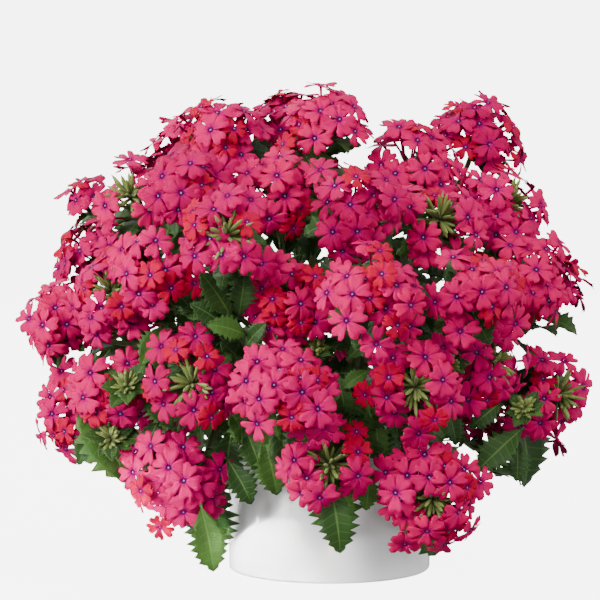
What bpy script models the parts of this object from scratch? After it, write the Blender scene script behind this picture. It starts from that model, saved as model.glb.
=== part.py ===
"""A bushy verbena in a plain white pot, at its real size, in metres, +Z up.

The origin is the middle of the pot's flat base, and the viewer of the plant looks along +Y.
The plant is a mound of flower heads. Each head is one solid of large five-petalled florets round a core.
The heads stand on forked square stems with toothed leaves, and each leafy stem stands in a hole in the soil.
"""

from dataclasses import dataclass, field

import bmesh
import bpy
import numpy as np

# Driving dimensions. The pot is the common 12 cm size, and the rest is measured against it.
POT_RADIUS = 0.060
POT_HEIGHT = 0.112
POT_WALL = 0.0035
POT_FLOOR = 0.004
SOIL_TOP = 0.098
FIT_GAP = 0.0004
POT_SIDES = 32

# The viewer that the front heads were placed for stands this far from the pot's axis, at this height.
VIEW_DISTANCE = 1.60
VIEW_HEIGHT = 0.273

# The mound that the middles of the heads lie on: its centre, and its half sizes along X, Y and Z.
MOUND_CENTRE = np.array([-0.012, 0.004, 0.136])
MOUND_HALF = np.array([0.150, 0.122, 0.124])

HEAD_RADIUS = 0.0305
HEAD_GAP = 0.0006
BACK_HEADS = 14
POT_CLEARANCE = 0.004
SIDE_SHIFT = 0.006
SETTLE_ROUNDS = 200
LOWEST = 0.006

STEM_RADIUS = 0.0026
SHOOT_RADIUS = 0.0019
RACHIS_RADIUS = 0.0024
SHOOT_CLEARANCE = 0.0045
BEND_ROUNDS = 40
HOLE_DEPTH = 0.018
INNER_STEMS = 4
OUTER_STEMS = 8
INNER_RING = 0.016
OUTER_RING = 0.039
INNER_LEAN = np.radians(43.0)

LEAF_THICKNESS = 0.0008
LEAF_LENGTH = 0.040
LEAF_WIDTH = 0.62
MOST_LEAVES = 46
LAYOUT_SEED = 7


@dataclass
class Head:
    """One flower head: the middle of its dome, the way it faces, and its outer radius."""

    name: str
    middle: np.ndarray
    facing: np.ndarray
    radius: float
    green_heart: bool
    stem: int = 0
    shoot: np.ndarray = field(default_factory=lambda: np.zeros((0, 3)))


@dataclass
class Leaf:
    """One toothed leaf: its root on a stem, its tip, the way its upper face looks, and its stem."""

    root: np.ndarray
    tip: np.ndarray
    up: np.ndarray
    stem: int


# Heads seen from the front: millimetres right of the pot's axis, millimetres above its base, radius in
# millimetres, and whether green buds show in the head's heart.
FRONT_HEADS = [
    (-59, 250, 31, False),
    (-5, 254, 30, False),
    (43, 243, 29, False),
    (87, 247, 31, False),
    (-32, 226, 28, False),
    (-116, 211, 28, True),
    (-84, 219, 27, False),
    (-145, 212, 19, False),
    (13, 208, 31, False),
    (57, 205, 29, True),
    (104, 206, 30, True),
    (-141, 181, 29, False),
    (-98, 180, 28, False),
    (-66, 193, 28, True),
    (-127, 157, 31, True),
    (-155, 146, 27, False),
    (-22, 153, 30, False),
    (33, 165, 31, False),
    (80, 159, 30, False),
    (115, 166, 30, False),
    (-151, 98, 29, False),
    (-130, 112, 26, False),
    (-74, 109, 30, True),
    (-20, 103, 30, False),
    (51, 114, 29, True),
    (94, 128, 29, True),
    (131, 104, 30, True),
    (-89, 52, 33, False),
    (5, 66, 28, True),
    (53, 46, 33, True),
]

# Leaves that show on their own: the head whose shoot they grow from, how far along the shoot, and the tip's
# place as seen from the front, in millimetres, with its depth.
SHOWN_LEAVES = [
    (27, 0.96, -67, 10, -26),
    (28, 0.96, 6, 15, -66),
    (21, 0.96, -134, 60, -46),
    (24, 0.96, 70, 78, -84),
    (26, 0.96, 118, 48, -2),
    (29, 0.96, 64, 6, -38),
]


def unit(vector):
    """The vector at length one, or each row of an array at length one."""
    vector = np.asarray(vector, float)
    return vector / np.linalg.norm(vector, axis=-1, keepdims=True)


def in_sight(across, up, depth):
    """The point at that depth which the viewer sees at (across, up) on the plane through the pot's axis."""
    eye = np.array([0.0, -VIEW_DISTANCE, VIEW_HEIGHT])
    on_plane = np.array([across, 0.0, up])
    return eye + (on_plane - eye) * (VIEW_DISTANCE + depth) / VIEW_DISTANCE


def mound_normal(point):
    """The way out of the mound at a point, turned a little up, as flower heads turn to the light."""
    return unit(unit((point - MOUND_CENTRE) / MOUND_HALF**2) + np.array([0.0, 0.0, 0.35]))


def front_depth(across, up, radius):
    """How far forward the mound's front lies there, and far enough to clear the pot below its rim."""
    inside = 1.0 - ((across - MOUND_CENTRE[0]) / MOUND_HALF[0]) ** 2 - ((up - MOUND_CENTRE[2]) / MOUND_HALF[2]) ** 2
    depth = MOUND_HALF[1] * np.sqrt(max(inside, 0.0)) - MOUND_CENTRE[1]
    if up < POT_HEIGHT:
        clear = POT_RADIUS + radius + POT_CLEARANCE
        depth = max(depth, np.sqrt(max(clear**2 - across**2, 0.0)))
    return -depth


def front_heads():
    """The heads that show from the front, set on the mound along the lines of sight."""
    heads = []
    for number, (across, up, radius, green_heart) in enumerate(FRONT_HEADS):
        across, up, radius = across / 1000, up / 1000, radius / 1000
        middle = in_sight(across, up, front_depth(across, up, radius))
        heads.append(Head(f"head_{number:02d}", middle, mound_normal(middle), radius, green_heart))
    return heads


def spread_points(count):
    """Points spread evenly over the mound by the golden angle, from its top down to below its widest ring."""
    turn = np.pi * (3.0 - np.sqrt(5.0)) * np.arange(count)
    height = 1.0 - 1.55 * (np.arange(count) + 0.5) / count
    flat = np.sqrt(1.0 - height**2)
    return MOUND_CENTRE + MOUND_HALF * np.column_stack((flat * np.cos(turn), flat * np.sin(turn), height))


def back_heads(heads):
    """Fills the mound's back: each new head goes to the spread point that lies furthest from all the others."""
    points = spread_points(420)
    points = points[(points[:, 1] > 0.004) & (points[:, 2] > 0.060)]
    clear = np.hypot(points[:, 0], points[:, 1]) > POT_RADIUS + HEAD_RADIUS
    points = points[clear | (points[:, 2] > POT_HEIGHT + HEAD_RADIUS)]
    made = []
    for number in range(BACK_HEADS):
        others = np.array([head.middle for head in heads + made])
        nearest = np.linalg.norm(points[:, None] - others[None], axis=2).min(axis=1)
        middle = points[int(np.argmax(nearest))]
        name = f"head_{len(heads) + number:02d}"
        made.append(Head(name, middle, mound_normal(middle), HEAD_RADIUS, number % 3 == 0))
    return made


def seen_place(point):
    """Where the viewer sees a point: its place across and up on the plane through the pot's axis."""
    eye = np.array([0.0, -VIEW_DISTANCE, VIEW_HEIGHT])
    return (eye + (point - eye) * VIEW_DISTANCE / (point[1] + VIEW_DISTANCE))[[0, 2]]


def settle_heads(heads, shown):
    """Moves heads that meet apart, the shown ones mostly in depth, so that each keeps its place in the view."""
    placed = [seen_place(head.middle) for head in heads[:shown]]
    middles = np.array([head.middle for head in heads])
    radii = np.array([head.radius for head in heads])
    need = radii[:, None] + radii[None] + HEAD_GAP
    np.fill_diagonal(need, 0.0)
    for _ in range(SETTLE_ROUNDS):
        apart = middles[:, None] - middles[None]
        distance = np.linalg.norm(apart, axis=2) + 1e-9
        push = np.maximum(need - distance, 0.0) / distance
        move = 0.35 * (apart * push[..., None]).sum(axis=1)
        middles += move * np.array([1.0, 1.6, 1.0])
        for number, radius in enumerate(radii):
            middle = middles[number]
            out = np.linalg.norm((middle - MOUND_CENTRE) / MOUND_HALF)
            if number < shown:
                seen = seen_place(middle)
                shift = seen - placed[number]
                shift *= min(1.0, SIDE_SHIFT / (np.linalg.norm(shift) + 1e-9))
                depth = max(middle[1], -MOUND_HALF[1] * 1.02)
                middle = in_sight(*(placed[number] + shift), depth)
            elif out > 1.03:
                middle = MOUND_CENTRE + (middle - MOUND_CENTRE) * 1.03 / out
            clear = POT_RADIUS + 0.9 * radius + POT_CLEARANCE
            reach = np.hypot(middle[0], middle[1])
            if middle[2] < POT_HEIGHT + 0.9 * radius and reach < clear:
                middle = middle * np.array([clear / reach, clear / reach, 1.0])
            middle[2] = max(middle[2], LOWEST + radius)
            middles[number] = middle
    for head, middle in zip(heads, middles):
        head.middle = middle


def size_heads(heads):
    """Takes what overlap is left off the radii of each two heads that still meet."""
    radii = np.array([head.radius for head in heads])
    for row, head in enumerate(heads):
        for other in range(row + 1, len(heads)):
            apart = np.linalg.norm(head.middle - heads[other].middle)
            spare = apart - HEAD_GAP - radii[row] - radii[other]
            if spare < 0:
                share = radii[row] / (radii[row] + radii[other])
                radii[row] += spare * share
                radii[other] += spare * (1.0 - share)
    for head, radius in zip(heads, radii):
        head.radius = float(radius)


def stem_of(middle):
    """Which leafy stem carries a head: an inner one for the mound's top, or the outer one in its direction."""
    reach = np.hypot(middle[0], middle[1])
    turn = np.arctan2(middle[1], middle[0]) % (2.0 * np.pi)
    if np.arctan2(reach, middle[2] - SOIL_TOP) < INNER_LEAN:
        return int(turn / (2.0 * np.pi / INNER_STEMS))
    return INNER_STEMS + int(turn / (2.0 * np.pi / OUTER_STEMS))


def stem_turn(stem):
    """The direction round the pot in which a leafy stem stands."""
    if stem < INNER_STEMS:
        return (stem + 0.5) * 2.0 * np.pi / INNER_STEMS
    return (stem - INNER_STEMS + 0.5) * 2.0 * np.pi / OUTER_STEMS


def stem_path(stem):
    """The main stem from the bottom of its hole, straight up out of the soil and then leaning out to its fork."""
    turn = stem_turn(stem)
    out = np.array([np.cos(turn), np.sin(turn), 0.0])
    foot = (INNER_RING if stem < INNER_STEMS else OUTER_RING) * out
    lean, rise = (0.006, 0.030) if stem < INNER_STEMS else (0.010, 0.026)
    steps = [
        (0.0, SOIL_TOP - HOLE_DEPTH + 0.0005),
        (0.0, SOIL_TOP + 0.004),
        (lean, SOIL_TOP + rise),
    ]
    return np.array([foot + out * away + np.array([0.0, 0.0, height]) for away, height in steps])


def pushed_out(point, centre, clear):
    """The point, moved straight away from a centre until it is that far off."""
    away = point - centre
    distance = np.linalg.norm(away) + 1e-9
    return point if distance >= clear else centre + away * clear / distance


def off_the_pot(point):
    """The point, moved up over the rim or out beside the pot, whichever is nearer."""
    reach = np.hypot(point[0], point[1])
    over, beside = POT_HEIGHT + 1.8 * SHOOT_CLEARANCE, POT_RADIUS + 1.1 * SHOOT_CLEARANCE
    if reach >= beside or point[2] >= over:
        return point
    if over - point[2] < beside - reach:
        return np.array([point[0], point[1], over])
    return point * np.array([beside / reach, beside / reach, 1.0])


def shoot_path(head, heads, count=6):
    """A shoot from the fork to the back of the head, over the pot's rim and bent clear of the other heads."""
    fork = stem_path(head.stem)[-1]
    neck = head.middle - head.facing * head.radius * 0.75
    reach = np.hypot(neck[0], neck[1])
    shoulder = 0.5 * (fork + neck)
    if head.stem >= INNER_STEMS:
        swing = (np.arctan2(neck[1], neck[0]) - stem_turn(head.stem) + np.pi) % (2.0 * np.pi) - np.pi
        turn = stem_turn(head.stem) + 0.6 * swing
        out = 0.5 * (np.hypot(fork[0], fork[1]) + max(reach - 0.010, 0.0))
        height = max(shoulder[2], POT_HEIGHT + 0.016)
        shoulder = np.array([np.cos(turn) * out, np.sin(turn) * out, height])
    t = np.linspace(0.0, 1.0, count)[:, None]
    curve = (1 - t) ** 2 * fork + 2 * t * (1 - t) * shoulder + t**2 * neck
    for _ in range(BEND_ROUNDS):
        curve[1:-1] = 0.6 * curve[1:-1] + 0.2 * (curve[:-2] + curve[2:])
        for place in range(1, count - 1):
            point = curve[place]
            for other in heads:
                if other is not head:
                    point = pushed_out(point, other.middle, other.radius + SHOOT_CLEARANCE)
            point = pushed_out(point, head.middle + 0.35 * head.facing * head.radius, 1.1 * head.radius)
            curve[place] = off_the_pot(point)
    return curve


def leaf_half_width(along):
    """Half the blade's width at a share of its length: broad near the root and drawn out to the tip."""
    return 0.5 * LEAF_WIDTH * 2.45 * along**0.62 * (1.0 - along) ** 0.85


def leaf_frame(leaf, along, arch=0.10):
    """Points on the arched midrib at shares of its length, with the side and up directions there."""
    along = np.asarray(along, float)[..., None]
    length = np.linalg.norm(leaf.tip - leaf.root)
    ahead = (leaf.tip - leaf.root) / length
    side = unit(np.cross(ahead, leaf.up))
    up = np.cross(side, ahead)
    points = leaf.root + (leaf.tip - leaf.root) * along + up * length * arch * 4.0 * along * (1.0 - along)
    return points, side, up


def leaf_samples(leaf):
    """Points over the blade, close enough together to tell whether it meets anything."""
    along = np.linspace(0.12, 1.0, 8)
    points, side, _ = leaf_frame(leaf, along)
    half = leaf_half_width(along)[:, None] * np.linalg.norm(leaf.tip - leaf.root)
    return np.concatenate([points + side * half * across for across in (-1.0, -0.5, 0.0, 0.5, 1.0)])


def nearest(points, others):
    """The least distance between two sets of points."""
    if not len(others):
        return np.inf
    return np.linalg.norm(points[:, None] - others[None], axis=2).min()


def leaf_is_clear(leaf, heads, shoots, leaves):
    """Whether a leaf keeps off the heads, the pot, the soil, the floor, the other leaves and other stems."""
    points = leaf_samples(leaf)
    reach = np.hypot(points[:, 0], points[:, 1])
    beside_pot = points[:, 2] < POT_HEIGHT + 0.004
    if (points[beside_pot][:, 2] < 0.006).any() or (reach[beside_pot] < POT_RADIUS + 0.003).any():
        return False
    if any(nearest(points, head.middle[None]) < head.radius + 0.002 for head in heads):
        return False
    if any(stem != leaf.stem and nearest(points, path) < 0.0065 for stem, path in shoots):
        return False
    return all(nearest(points, leaf_samples(other)) > 0.0068 for other in leaves)


def resampled(path, count):
    """The same line with evenly numbered points."""
    place = np.linspace(0, len(path) - 1, count)
    return np.column_stack([np.interp(place, np.arange(len(path)), path[:, axis]) for axis in range(3)])


def grow_leaves(heads):
    """The leaves: first those that show on their own, then opposite leaves along the shoots where there is room."""
    shoots = [(head.stem, resampled(head.shoot, 24)) for head in heads]
    shoots += [(stem, resampled(stem_path(stem), 12)) for stem in range(INNER_STEMS + OUTER_STEMS)]
    leaves = []
    for number, place, across, up, depth in SHOWN_LEAVES:
        head = heads[number]
        root = resampled(head.shoot, 101)[int(100 * place)]
        tip = in_sight(across / 1000, up / 1000, depth / 1000)
        leaf = Leaf(root, tip, unit(np.array([0.0, -0.8, 0.6]) + head.facing), head.stem)
        if leaf_is_clear(leaf, [other for other in heads if other is not head], shoots, leaves):
            leaves.append(leaf)
    rng = np.random.default_rng(LAYOUT_SEED)
    for place in (0.45, 0.80, 0.62, 0.92):
        for head in heads:
            path = resampled(head.shoot, 101)
            root = path[int(100 * place)]
            ahead = unit(path[min(int(100 * place) + 4, 100)] - root)
            across = unit(np.cross(ahead, unit(rng.normal(size=3))))
            for side in (1.0, -1.0):
                length = LEAF_LENGTH * rng.uniform(0.75, 1.1)
                heading = unit(side * across + 0.45 * ahead + 0.55 * unit(root - MOUND_CENTRE))
                leaf = Leaf(root, root + heading * length, unit(head.facing + np.array([0.0, 0.0, 0.6])), head.stem)
                if len(leaves) < MOST_LEAVES and leaf_is_clear(leaf, heads, shoots, leaves):
                    leaves.append(leaf)
    return leaves


def lay_out():
    """The whole plant's layout: every head with its size, stem and shoot, and every leaf."""
    heads = front_heads()
    shown = len(heads)
    heads += back_heads(heads)
    settle_heads(heads, shown)
    size_heads(heads)
    for number, head in enumerate(heads):
        toward_viewer = np.array([0.0, -0.25, 0.0]) if number < shown else np.zeros(3)
        head.facing = unit(mound_normal(head.middle) + toward_viewer)
        head.stem = stem_of(head.middle)
    for head in heads:
        head.shoot = shoot_path(head, heads)
    return heads, grow_leaves(heads)


def axes_about(direction):
    """Two directions square to this one and to each other, for setting points round it."""
    helper = np.array([0.0, 0.0, 1.0]) if abs(direction[2]) < 0.9 else np.array([1.0, 0.0, 0.0])
    first = unit(np.cross(helper, direction))
    return first, np.cross(direction, first)


def ring_points(centre, direction, radius, count, phase=0.0):
    """Points evenly round a centre, square to a direction, and their angles."""
    first, second = axes_about(direction)
    angles = phase + 2.0 * np.pi * np.arange(count) / count
    return centre + radius * (np.outer(np.cos(angles), first) + np.outer(np.sin(angles), second))


class Solid:
    """A mesh under construction: points, and faces that list them."""

    def __init__(self):
        self.points = []
        self.faces = []

    def add(self, points):
        """Adds points and gives their numbers."""
        start = len(self.points)
        self.points.extend(np.asarray(points, float).reshape(-1, 3))
        return list(range(start, len(self.points)))

    def band(self, lower, upper):
        """Joins two rings of as many points with a band of quads."""
        count = len(lower)
        for place in range(count):
            after = (place + 1) % count
            self.faces.append((lower[place], lower[after], upper[after], upper[place]))

    def fan(self, ring, apex):
        """Closes a ring to one point."""
        for place in range(len(ring)):
            self.faces.append((ring[place], ring[(place + 1) % len(ring)], apex))

    def bridge(self, inner, outer, centre, direction):
        """Joins a ring of few points to a ring of many, walking both by their angle about a direction."""
        first, second = axes_about(direction)

        def ordered(ring):
            offsets = np.array([self.points[place] for place in ring]) - centre
            angles = np.arctan2(offsets @ second, offsets @ first) % (2.0 * np.pi)
            order = np.argsort(angles)
            return [ring[place] for place in order], [float(angles[place]) for place in order]

        few, few_angles = ordered(inner)
        many, many_angles = ordered(outer)
        few_angles.append(few_angles[0] + 2.0 * np.pi)
        many_angles.append(many_angles[0] + 2.0 * np.pi)
        at_few = at_many = 0
        while at_few < len(few) or at_many < len(many):
            one, other = few[at_few % len(few)], many[at_many % len(many)]
            few_next = few_angles[at_few + 1] if at_few < len(few) else np.inf
            many_next = many_angles[at_many + 1] if at_many < len(many) else np.inf
            if few_next < many_next:
                self.faces.append((one, few[(at_few + 1) % len(few)], other))
                at_few += 1
            else:
                self.faces.append((one, many[(at_many + 1) % len(many)], other))
                at_many += 1

    def build(self, name, material):
        """Makes the Blender object, with its faces turned outwards."""
        mesh = bpy.data.meshes.new(name)
        mesh.from_pydata([tuple(map(float, point)) for point in self.points], [], self.faces)
        shape = bmesh.new()
        shape.from_mesh(mesh)
        bmesh.ops.triangulate(shape, faces=shape.faces[:])
        bmesh.ops.recalc_face_normals(shape, faces=shape.faces[:])
        shape.to_mesh(mesh)
        shape.free()
        mesh.materials.append(material)
        made = bpy.data.objects.new(name, mesh)
        bpy.context.scene.collection.objects.link(made)
        return made


def tube(path, radii, sides=4):
    """A closed tube along a path, with a radius at each point and no twist from ring to ring."""
    solid = Solid()
    ahead = unit(np.gradient(path, axis=0))
    first, _ = axes_about(ahead[0])
    rings = []
    for point, direction, radius in zip(path, ahead, radii):
        first = unit(first - direction * (first @ direction))
        second = np.cross(direction, first)
        angles = 2.0 * np.pi * np.arange(sides) / sides
        ring = point + radius * (np.outer(np.cos(angles), first) + np.outer(np.sin(angles), second))
        rings.append(solid.add(ring))
    for lower, upper in zip(rings, rings[1:]):
        solid.band(lower, upper)
    solid.faces.append(tuple(rings[0][::-1]))
    solid.faces.append(tuple(rings[-1]))
    return solid


# One side of a leaf's toothed edge from root to tip: share of the length, and share of the half width there.
TOOTHED_EDGE = [(0.0, 0.0), (0.36, 1.06), (0.44, 0.74), (0.68, 1.14), (0.75, 0.68)]
MIDRIB = [0.0, 0.40, 0.70]
LEAF_ROOT_HALF = 0.0014
LEAF_FOLD = 0.28


def leaf_solid(leaf):
    """A blade with a wall all round: the upper and lower faces are split into the same triangles."""
    solid = Solid()
    length = np.linalg.norm(leaf.tip - leaf.root)
    upper, lower = [], []

    def place(along, across):
        point, side, up = leaf_frame(leaf, np.array([along]))
        surface = point[0] + side * across + up * abs(across) * LEAF_FOLD
        upper.append(solid.add([surface + up * LEAF_THICKNESS / 2])[0])
        lower.append(solid.add([surface - up * LEAF_THICKNESS / 2])[0])
        return len(upper) - 1

    rib = [place(along, 0.0) for along in MIDRIB]
    tip = place(1.0, 0.0)
    edges = []
    for turn in (1.0, -1.0):
        edge = []
        for along, share in TOOTHED_EDGE:
            half = LEAF_ROOT_HALF if along == 0.0 else leaf_half_width(along) * share * length
            edge.append(place(along, turn * half))
        edges.append(edge + [tip])
    along_edge = [along for along, _ in TOOTHED_EDGE] + [1.0]
    along_rib = MIDRIB + [1.0]
    spine = rib + [tip]
    triangles = []
    for edge in edges:
        at_rib = at_edge = 0
        while at_rib < len(spine) - 1 or at_edge < len(edge) - 2:
            rib_next = along_rib[at_rib + 1] if at_rib < len(spine) - 1 else np.inf
            edge_next = along_edge[at_edge + 1] if at_edge < len(edge) - 2 else np.inf
            if rib_next < edge_next:
                triangles.append((spine[at_rib], edge[at_edge], spine[at_rib + 1]))
                at_rib += 1
            else:
                triangles.append((spine[at_rib], edge[at_edge], edge[at_edge + 1]))
                at_edge += 1
    for one, two, three in triangles:
        solid.faces.append((upper[one], upper[two], upper[three]))
        solid.faces.append((lower[one], lower[three], lower[two]))
    outline = edges[0] + edges[1][-2::-1] + [rib[0]]
    for one, two in zip(outline, outline[1:] + outline[:1]):
        solid.faces.append((lower[one], lower[two], upper[two], upper[one]))
    return solid


PETALS = 5
PETAL_CORNERS = [(0.0, 0.40, -0.10), (0.22, 0.98, 0.02), (0.78, 0.98, 0.02)]
RING_FLORETS = 5
RING_TILTS = np.radians([60.0, 74.0, 62.0, 74.0, 68.0])
LIMB_SHARE = 0.53
TOP_LIMB_SHARE = 0.52
CORE_HOLE = 0.0034


def core_rings(head):
    """The core's rings of six points: bottom and top of its tapered outside."""
    half_height = 0.17 * head.radius
    bottom_radius = max(0.28 * head.radius, CORE_HOLE + 0.0022)
    top_radius = max(0.18 * head.radius, CORE_HOLE + 0.0010)
    bottom = ring_points(head.middle - head.facing * half_height, head.facing, bottom_radius, RING_FLORETS)
    top = ring_points(head.middle + head.facing * half_height, head.facing, top_radius, RING_FLORETS)
    return bottom, top


def add_floret(solid, base, head, direction, reach, limb, phase):
    """A funnel floret: a limb of five notched petals, dished at its eye, narrowing to a face of the core."""
    centre = head.middle + direction * reach
    first, second = axes_about(direction)
    rim = []
    for petal in range(PETALS):
        for turn, share, lift in PETAL_CORNERS:
            angle = phase + 2.0 * np.pi * (petal + turn) / PETALS
            flat = limb * share * (np.cos(angle) * first + np.sin(angle) * second)
            rim.append(centre + flat + direction * limb * lift)
    rim = solid.add(rim)
    eye = solid.add([centre - direction * limb * 0.14])[0]
    solid.fan(rim, eye)
    solid.bridge(base, rim, centre, direction)


def head_solid(head):
    """A flower head: florets grow from the sides of a six-sided core, and one from its top unless buds show."""
    solid = Solid()
    bottom_points, top_points = core_rings(head)
    bottom, top = solid.add(bottom_points), solid.add(top_points)
    reach = head.radius / np.sqrt(1.0 + LIMB_SHARE**2)
    first, second = axes_about(head.facing)
    for place in range(RING_FLORETS):
        after = (place + 1) % RING_FLORETS
        tilt = RING_TILTS[place]
        turn = 2.0 * np.pi * (place + 0.5) / RING_FLORETS
        out = np.cos(turn) * first + np.sin(turn) * second
        direction = unit(np.cos(tilt) * head.facing + np.sin(tilt) * out)
        base = [bottom[place], bottom[after], top[after], top[place]]
        add_floret(solid, base, head, direction, reach, reach * LIMB_SHARE, 0.6 * place)
    if head.green_heart:
        half_height = 0.17 * head.radius
        holes = []
        for side in (-1.0, 1.0):
            centre = head.middle + side * head.facing * half_height
            holes.append(solid.add(ring_points(centre, head.facing, CORE_HOLE, RING_FLORETS)))
        solid.band(bottom, holes[0])
        solid.band(holes[0], holes[1])
        solid.band(holes[1], top)
    else:
        solid.faces.append(tuple(bottom[::-1]))
        top_reach = reach * 0.98
        add_floret(solid, top, head, head.facing, top_reach, top_reach * TOP_LIMB_SHARE, 0.3)
    return solid


def rachis_path(head):
    """The shoot and its end: through the core where buds show, or up to the core's underside."""
    half_height = 0.17 * head.radius
    neck = head.shoot[-1]
    if head.green_heart:
        stops = [head.middle + head.facing * (half_height + 0.0012)]
        stops = [head.middle - head.facing * (half_height + 0.0016)] + stops
    else:
        stops = [head.middle - head.facing * (half_height + FIT_GAP)]
    root = head.shoot[0] + unit(stem_path(head.stem)[-2] - head.shoot[0]) * 0.0022
    return np.vstack([root, head.shoot[1:-1], neck] + [stop[None] for stop in stops])


def bud_star(head):
    """The green heart of a head: a knob with six pointed buds round it and one on top."""
    solid = Solid()
    base = 0.17 * head.radius + 0.0004
    size = min(1.0, head.radius / 0.028)
    half_step = np.pi / RING_FLORETS
    rings = [
        ring_points(head.middle + head.facing * (base + rise * size), head.facing, radius, RING_FLORETS, half_step)
        for rise, radius in ((0.0, 0.0026), (0.0016, 0.0036), (0.0044, 0.0022))
    ]
    foot, shoulder, crown = (solid.add(ring) for ring in rings)
    solid.faces.append(tuple(foot[::-1]))
    solid.band(foot, shoulder)
    first, second = axes_about(head.facing)
    for place in range(RING_FLORETS):
        after = (place + 1) % RING_FLORETS
        turn = 2.0 * np.pi * (place + 1) / RING_FLORETS
        out = np.cos(turn) * first + np.sin(turn) * second
        tip = head.middle + 0.0165 * size * unit(0.80 * head.facing + 0.60 * out)
        spike = solid.add([tip])[0]
        solid.fan([shoulder[place], shoulder[after], crown[after], crown[place]], spike)
    top = solid.add([head.middle + head.facing * (base + 0.0125 * size)])[0]
    solid.fan(crown, top)
    return solid


def joined(name, pieces):
    """One body from several overlapping ones, by a Boolean union on their collection."""
    first, others = pieces[0], pieces[1:]
    gathered = bpy.data.collections.new(name + "_pieces")
    bpy.context.scene.collection.children.link(gathered)
    for piece in others:
        bpy.context.scene.collection.objects.unlink(piece)
        gathered.objects.link(piece)
    union = first.modifiers.new("Join", "BOOLEAN")
    union.operation = "UNION"
    union.operand_type = "COLLECTION"
    union.collection = gathered
    union.solver = "EXACT"
    bpy.context.view_layer.update()
    graph = bpy.context.evaluated_depsgraph_get()
    whole = bpy.data.meshes.new_from_object(first.evaluated_get(graph))
    first.modifiers.remove(union)
    first.data = whole
    first.name = name
    for piece in others:
        bpy.data.objects.remove(piece)
    bpy.data.collections.remove(gathered)
    return first


def leafy_stem(stem, heads, leaves, material):
    """One leafy stem: the main stem, a shoot to each of its heads, green bud hearts, and its leaves."""
    path = stem_path(stem)
    pieces = [tube(path, [STEM_RADIUS] * len(path)).build(f"main_{stem}", material)]
    for head in heads:
        route = rachis_path(head)
        radii = np.linspace(SHOOT_RADIUS, SHOOT_RADIUS * 0.85, len(route))
        radii[-2 if head.green_heart else -1 :] = RACHIS_RADIUS
        pieces.append(tube(route, radii).build(f"shoot_{head.name}", material))
        if head.green_heart:
            pieces.append(bud_star(head).build(f"buds_{head.name}", material))
    for number, leaf in enumerate(leaves):
        pieces.append(leaf_solid(leaf).build(f"leaf_{stem}_{number}", material))
    return joined(f"leafy_stem_{stem:02d}", pieces)


def turned(profile, sides):
    """A closed body turned about the pot's axis from a profile of (radius, height) that starts and ends on it."""
    solid = Solid()
    start = solid.add([(0.0, 0.0, profile[0][1])])[0]
    end = solid.add([(0.0, 0.0, profile[-1][1])])[0]
    up = np.array([0.0, 0.0, 1.0])
    rings = [solid.add(ring_points(up * height, up, radius, sides)) for radius, height in profile[1:-1]]
    solid.fan(rings[0], start)
    for lower, upper in zip(rings, rings[1:]):
        solid.band(lower, upper)
    solid.fan(rings[-1], end)
    return solid


def pot(material):
    """The plain straight pot: a flat base with a softened edge, a straight wall and a rounded rim."""
    inside = POT_RADIUS - POT_WALL
    profile = [
        (0.0, 0.0),
        (POT_RADIUS - 0.0020, 0.0),
        (POT_RADIUS, 0.0020),
        (POT_RADIUS, POT_HEIGHT - 0.0012),
        (POT_RADIUS - 0.0011, POT_HEIGHT),
        (inside + 0.0011, POT_HEIGHT),
        (inside, POT_HEIGHT - 0.0012),
        (inside, POT_FLOOR),
        (0.0, POT_FLOOR),
    ]
    return turned(profile, POT_SIDES).build("pot", material)


def soil(material):
    """The soil: it fills the pot to below its rim, and has a square hole for each leafy stem."""
    radius = (POT_RADIUS - POT_WALL) * np.cos(np.pi / POT_SIDES) - FIT_GAP
    profile = [
        (0.0, POT_FLOOR + FIT_GAP),
        (radius, POT_FLOOR + FIT_GAP),
        (radius, SOIL_TOP - 0.0025),
        (radius - 0.0080, SOIL_TOP),
        (0.0, SOIL_TOP),
    ]
    body = turned(profile, POT_SIDES).build("soil", material)
    cutters = bpy.data.collections.new("hole_cutters")
    bpy.context.scene.collection.children.link(cutters)
    for stem in range(INNER_STEMS + OUTER_STEMS):
        foot = stem_path(stem)[0]
        bottom = np.array([foot[0], foot[1], SOIL_TOP - HOLE_DEPTH])
        path = np.array([bottom, bottom + np.array([0.0, 0.0, HOLE_DEPTH + 0.004])])
        cutter = tube(path, [STEM_RADIUS + 0.0006] * 2).build(f"hole_{stem}", material)
        bpy.context.scene.collection.objects.unlink(cutter)
        cutters.objects.link(cutter)
        cutter.display_type = "WIRE"
        cutter.hide_render = True
    cut = body.modifiers.new("Holes", "BOOLEAN")
    cut.operation = "DIFFERENCE"
    cut.operand_type = "COLLECTION"
    cut.collection = cutters
    cut.solver = "EXACT"
    return body


def finish(name, colour, roughness):
    """A plain material with the part's colour as linear red, green and blue."""
    material = bpy.data.materials.new(name)
    material.use_nodes = True
    shader = material.node_tree.nodes["Principled BSDF"]
    shader.inputs["Base Color"].default_value = (*colour, 1.0)
    shader.inputs["Roughness"].default_value = roughness
    shader.inputs["Metallic"].default_value = 0.0
    return material


def main():
    """Clears the scene and builds the pot, the soil, the leafy stems and the flower heads."""
    for leftover in list(bpy.data.objects):
        bpy.data.objects.remove(leftover)
    white = finish("glazed_white", (0.80, 0.81, 0.82), 0.25)
    earth = finish("potting_soil", (0.045, 0.028, 0.018), 0.95)
    green = finish("leaf_green", (0.055, 0.160, 0.035), 0.55)
    petal = finish("petal_pink", (0.80, 0.022, 0.130), 0.60)
    heads, leaves = lay_out()
    pot(white)
    soil(earth)
    for stem in range(INNER_STEMS + OUTER_STEMS):
        carried = [head for head in heads if head.stem == stem]
        leafy_stem(stem, carried, [leaf for leaf in leaves if leaf.stem == stem], green)
    for head in heads:
        head_solid(head).build(head.name, petal)


main()
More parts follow.
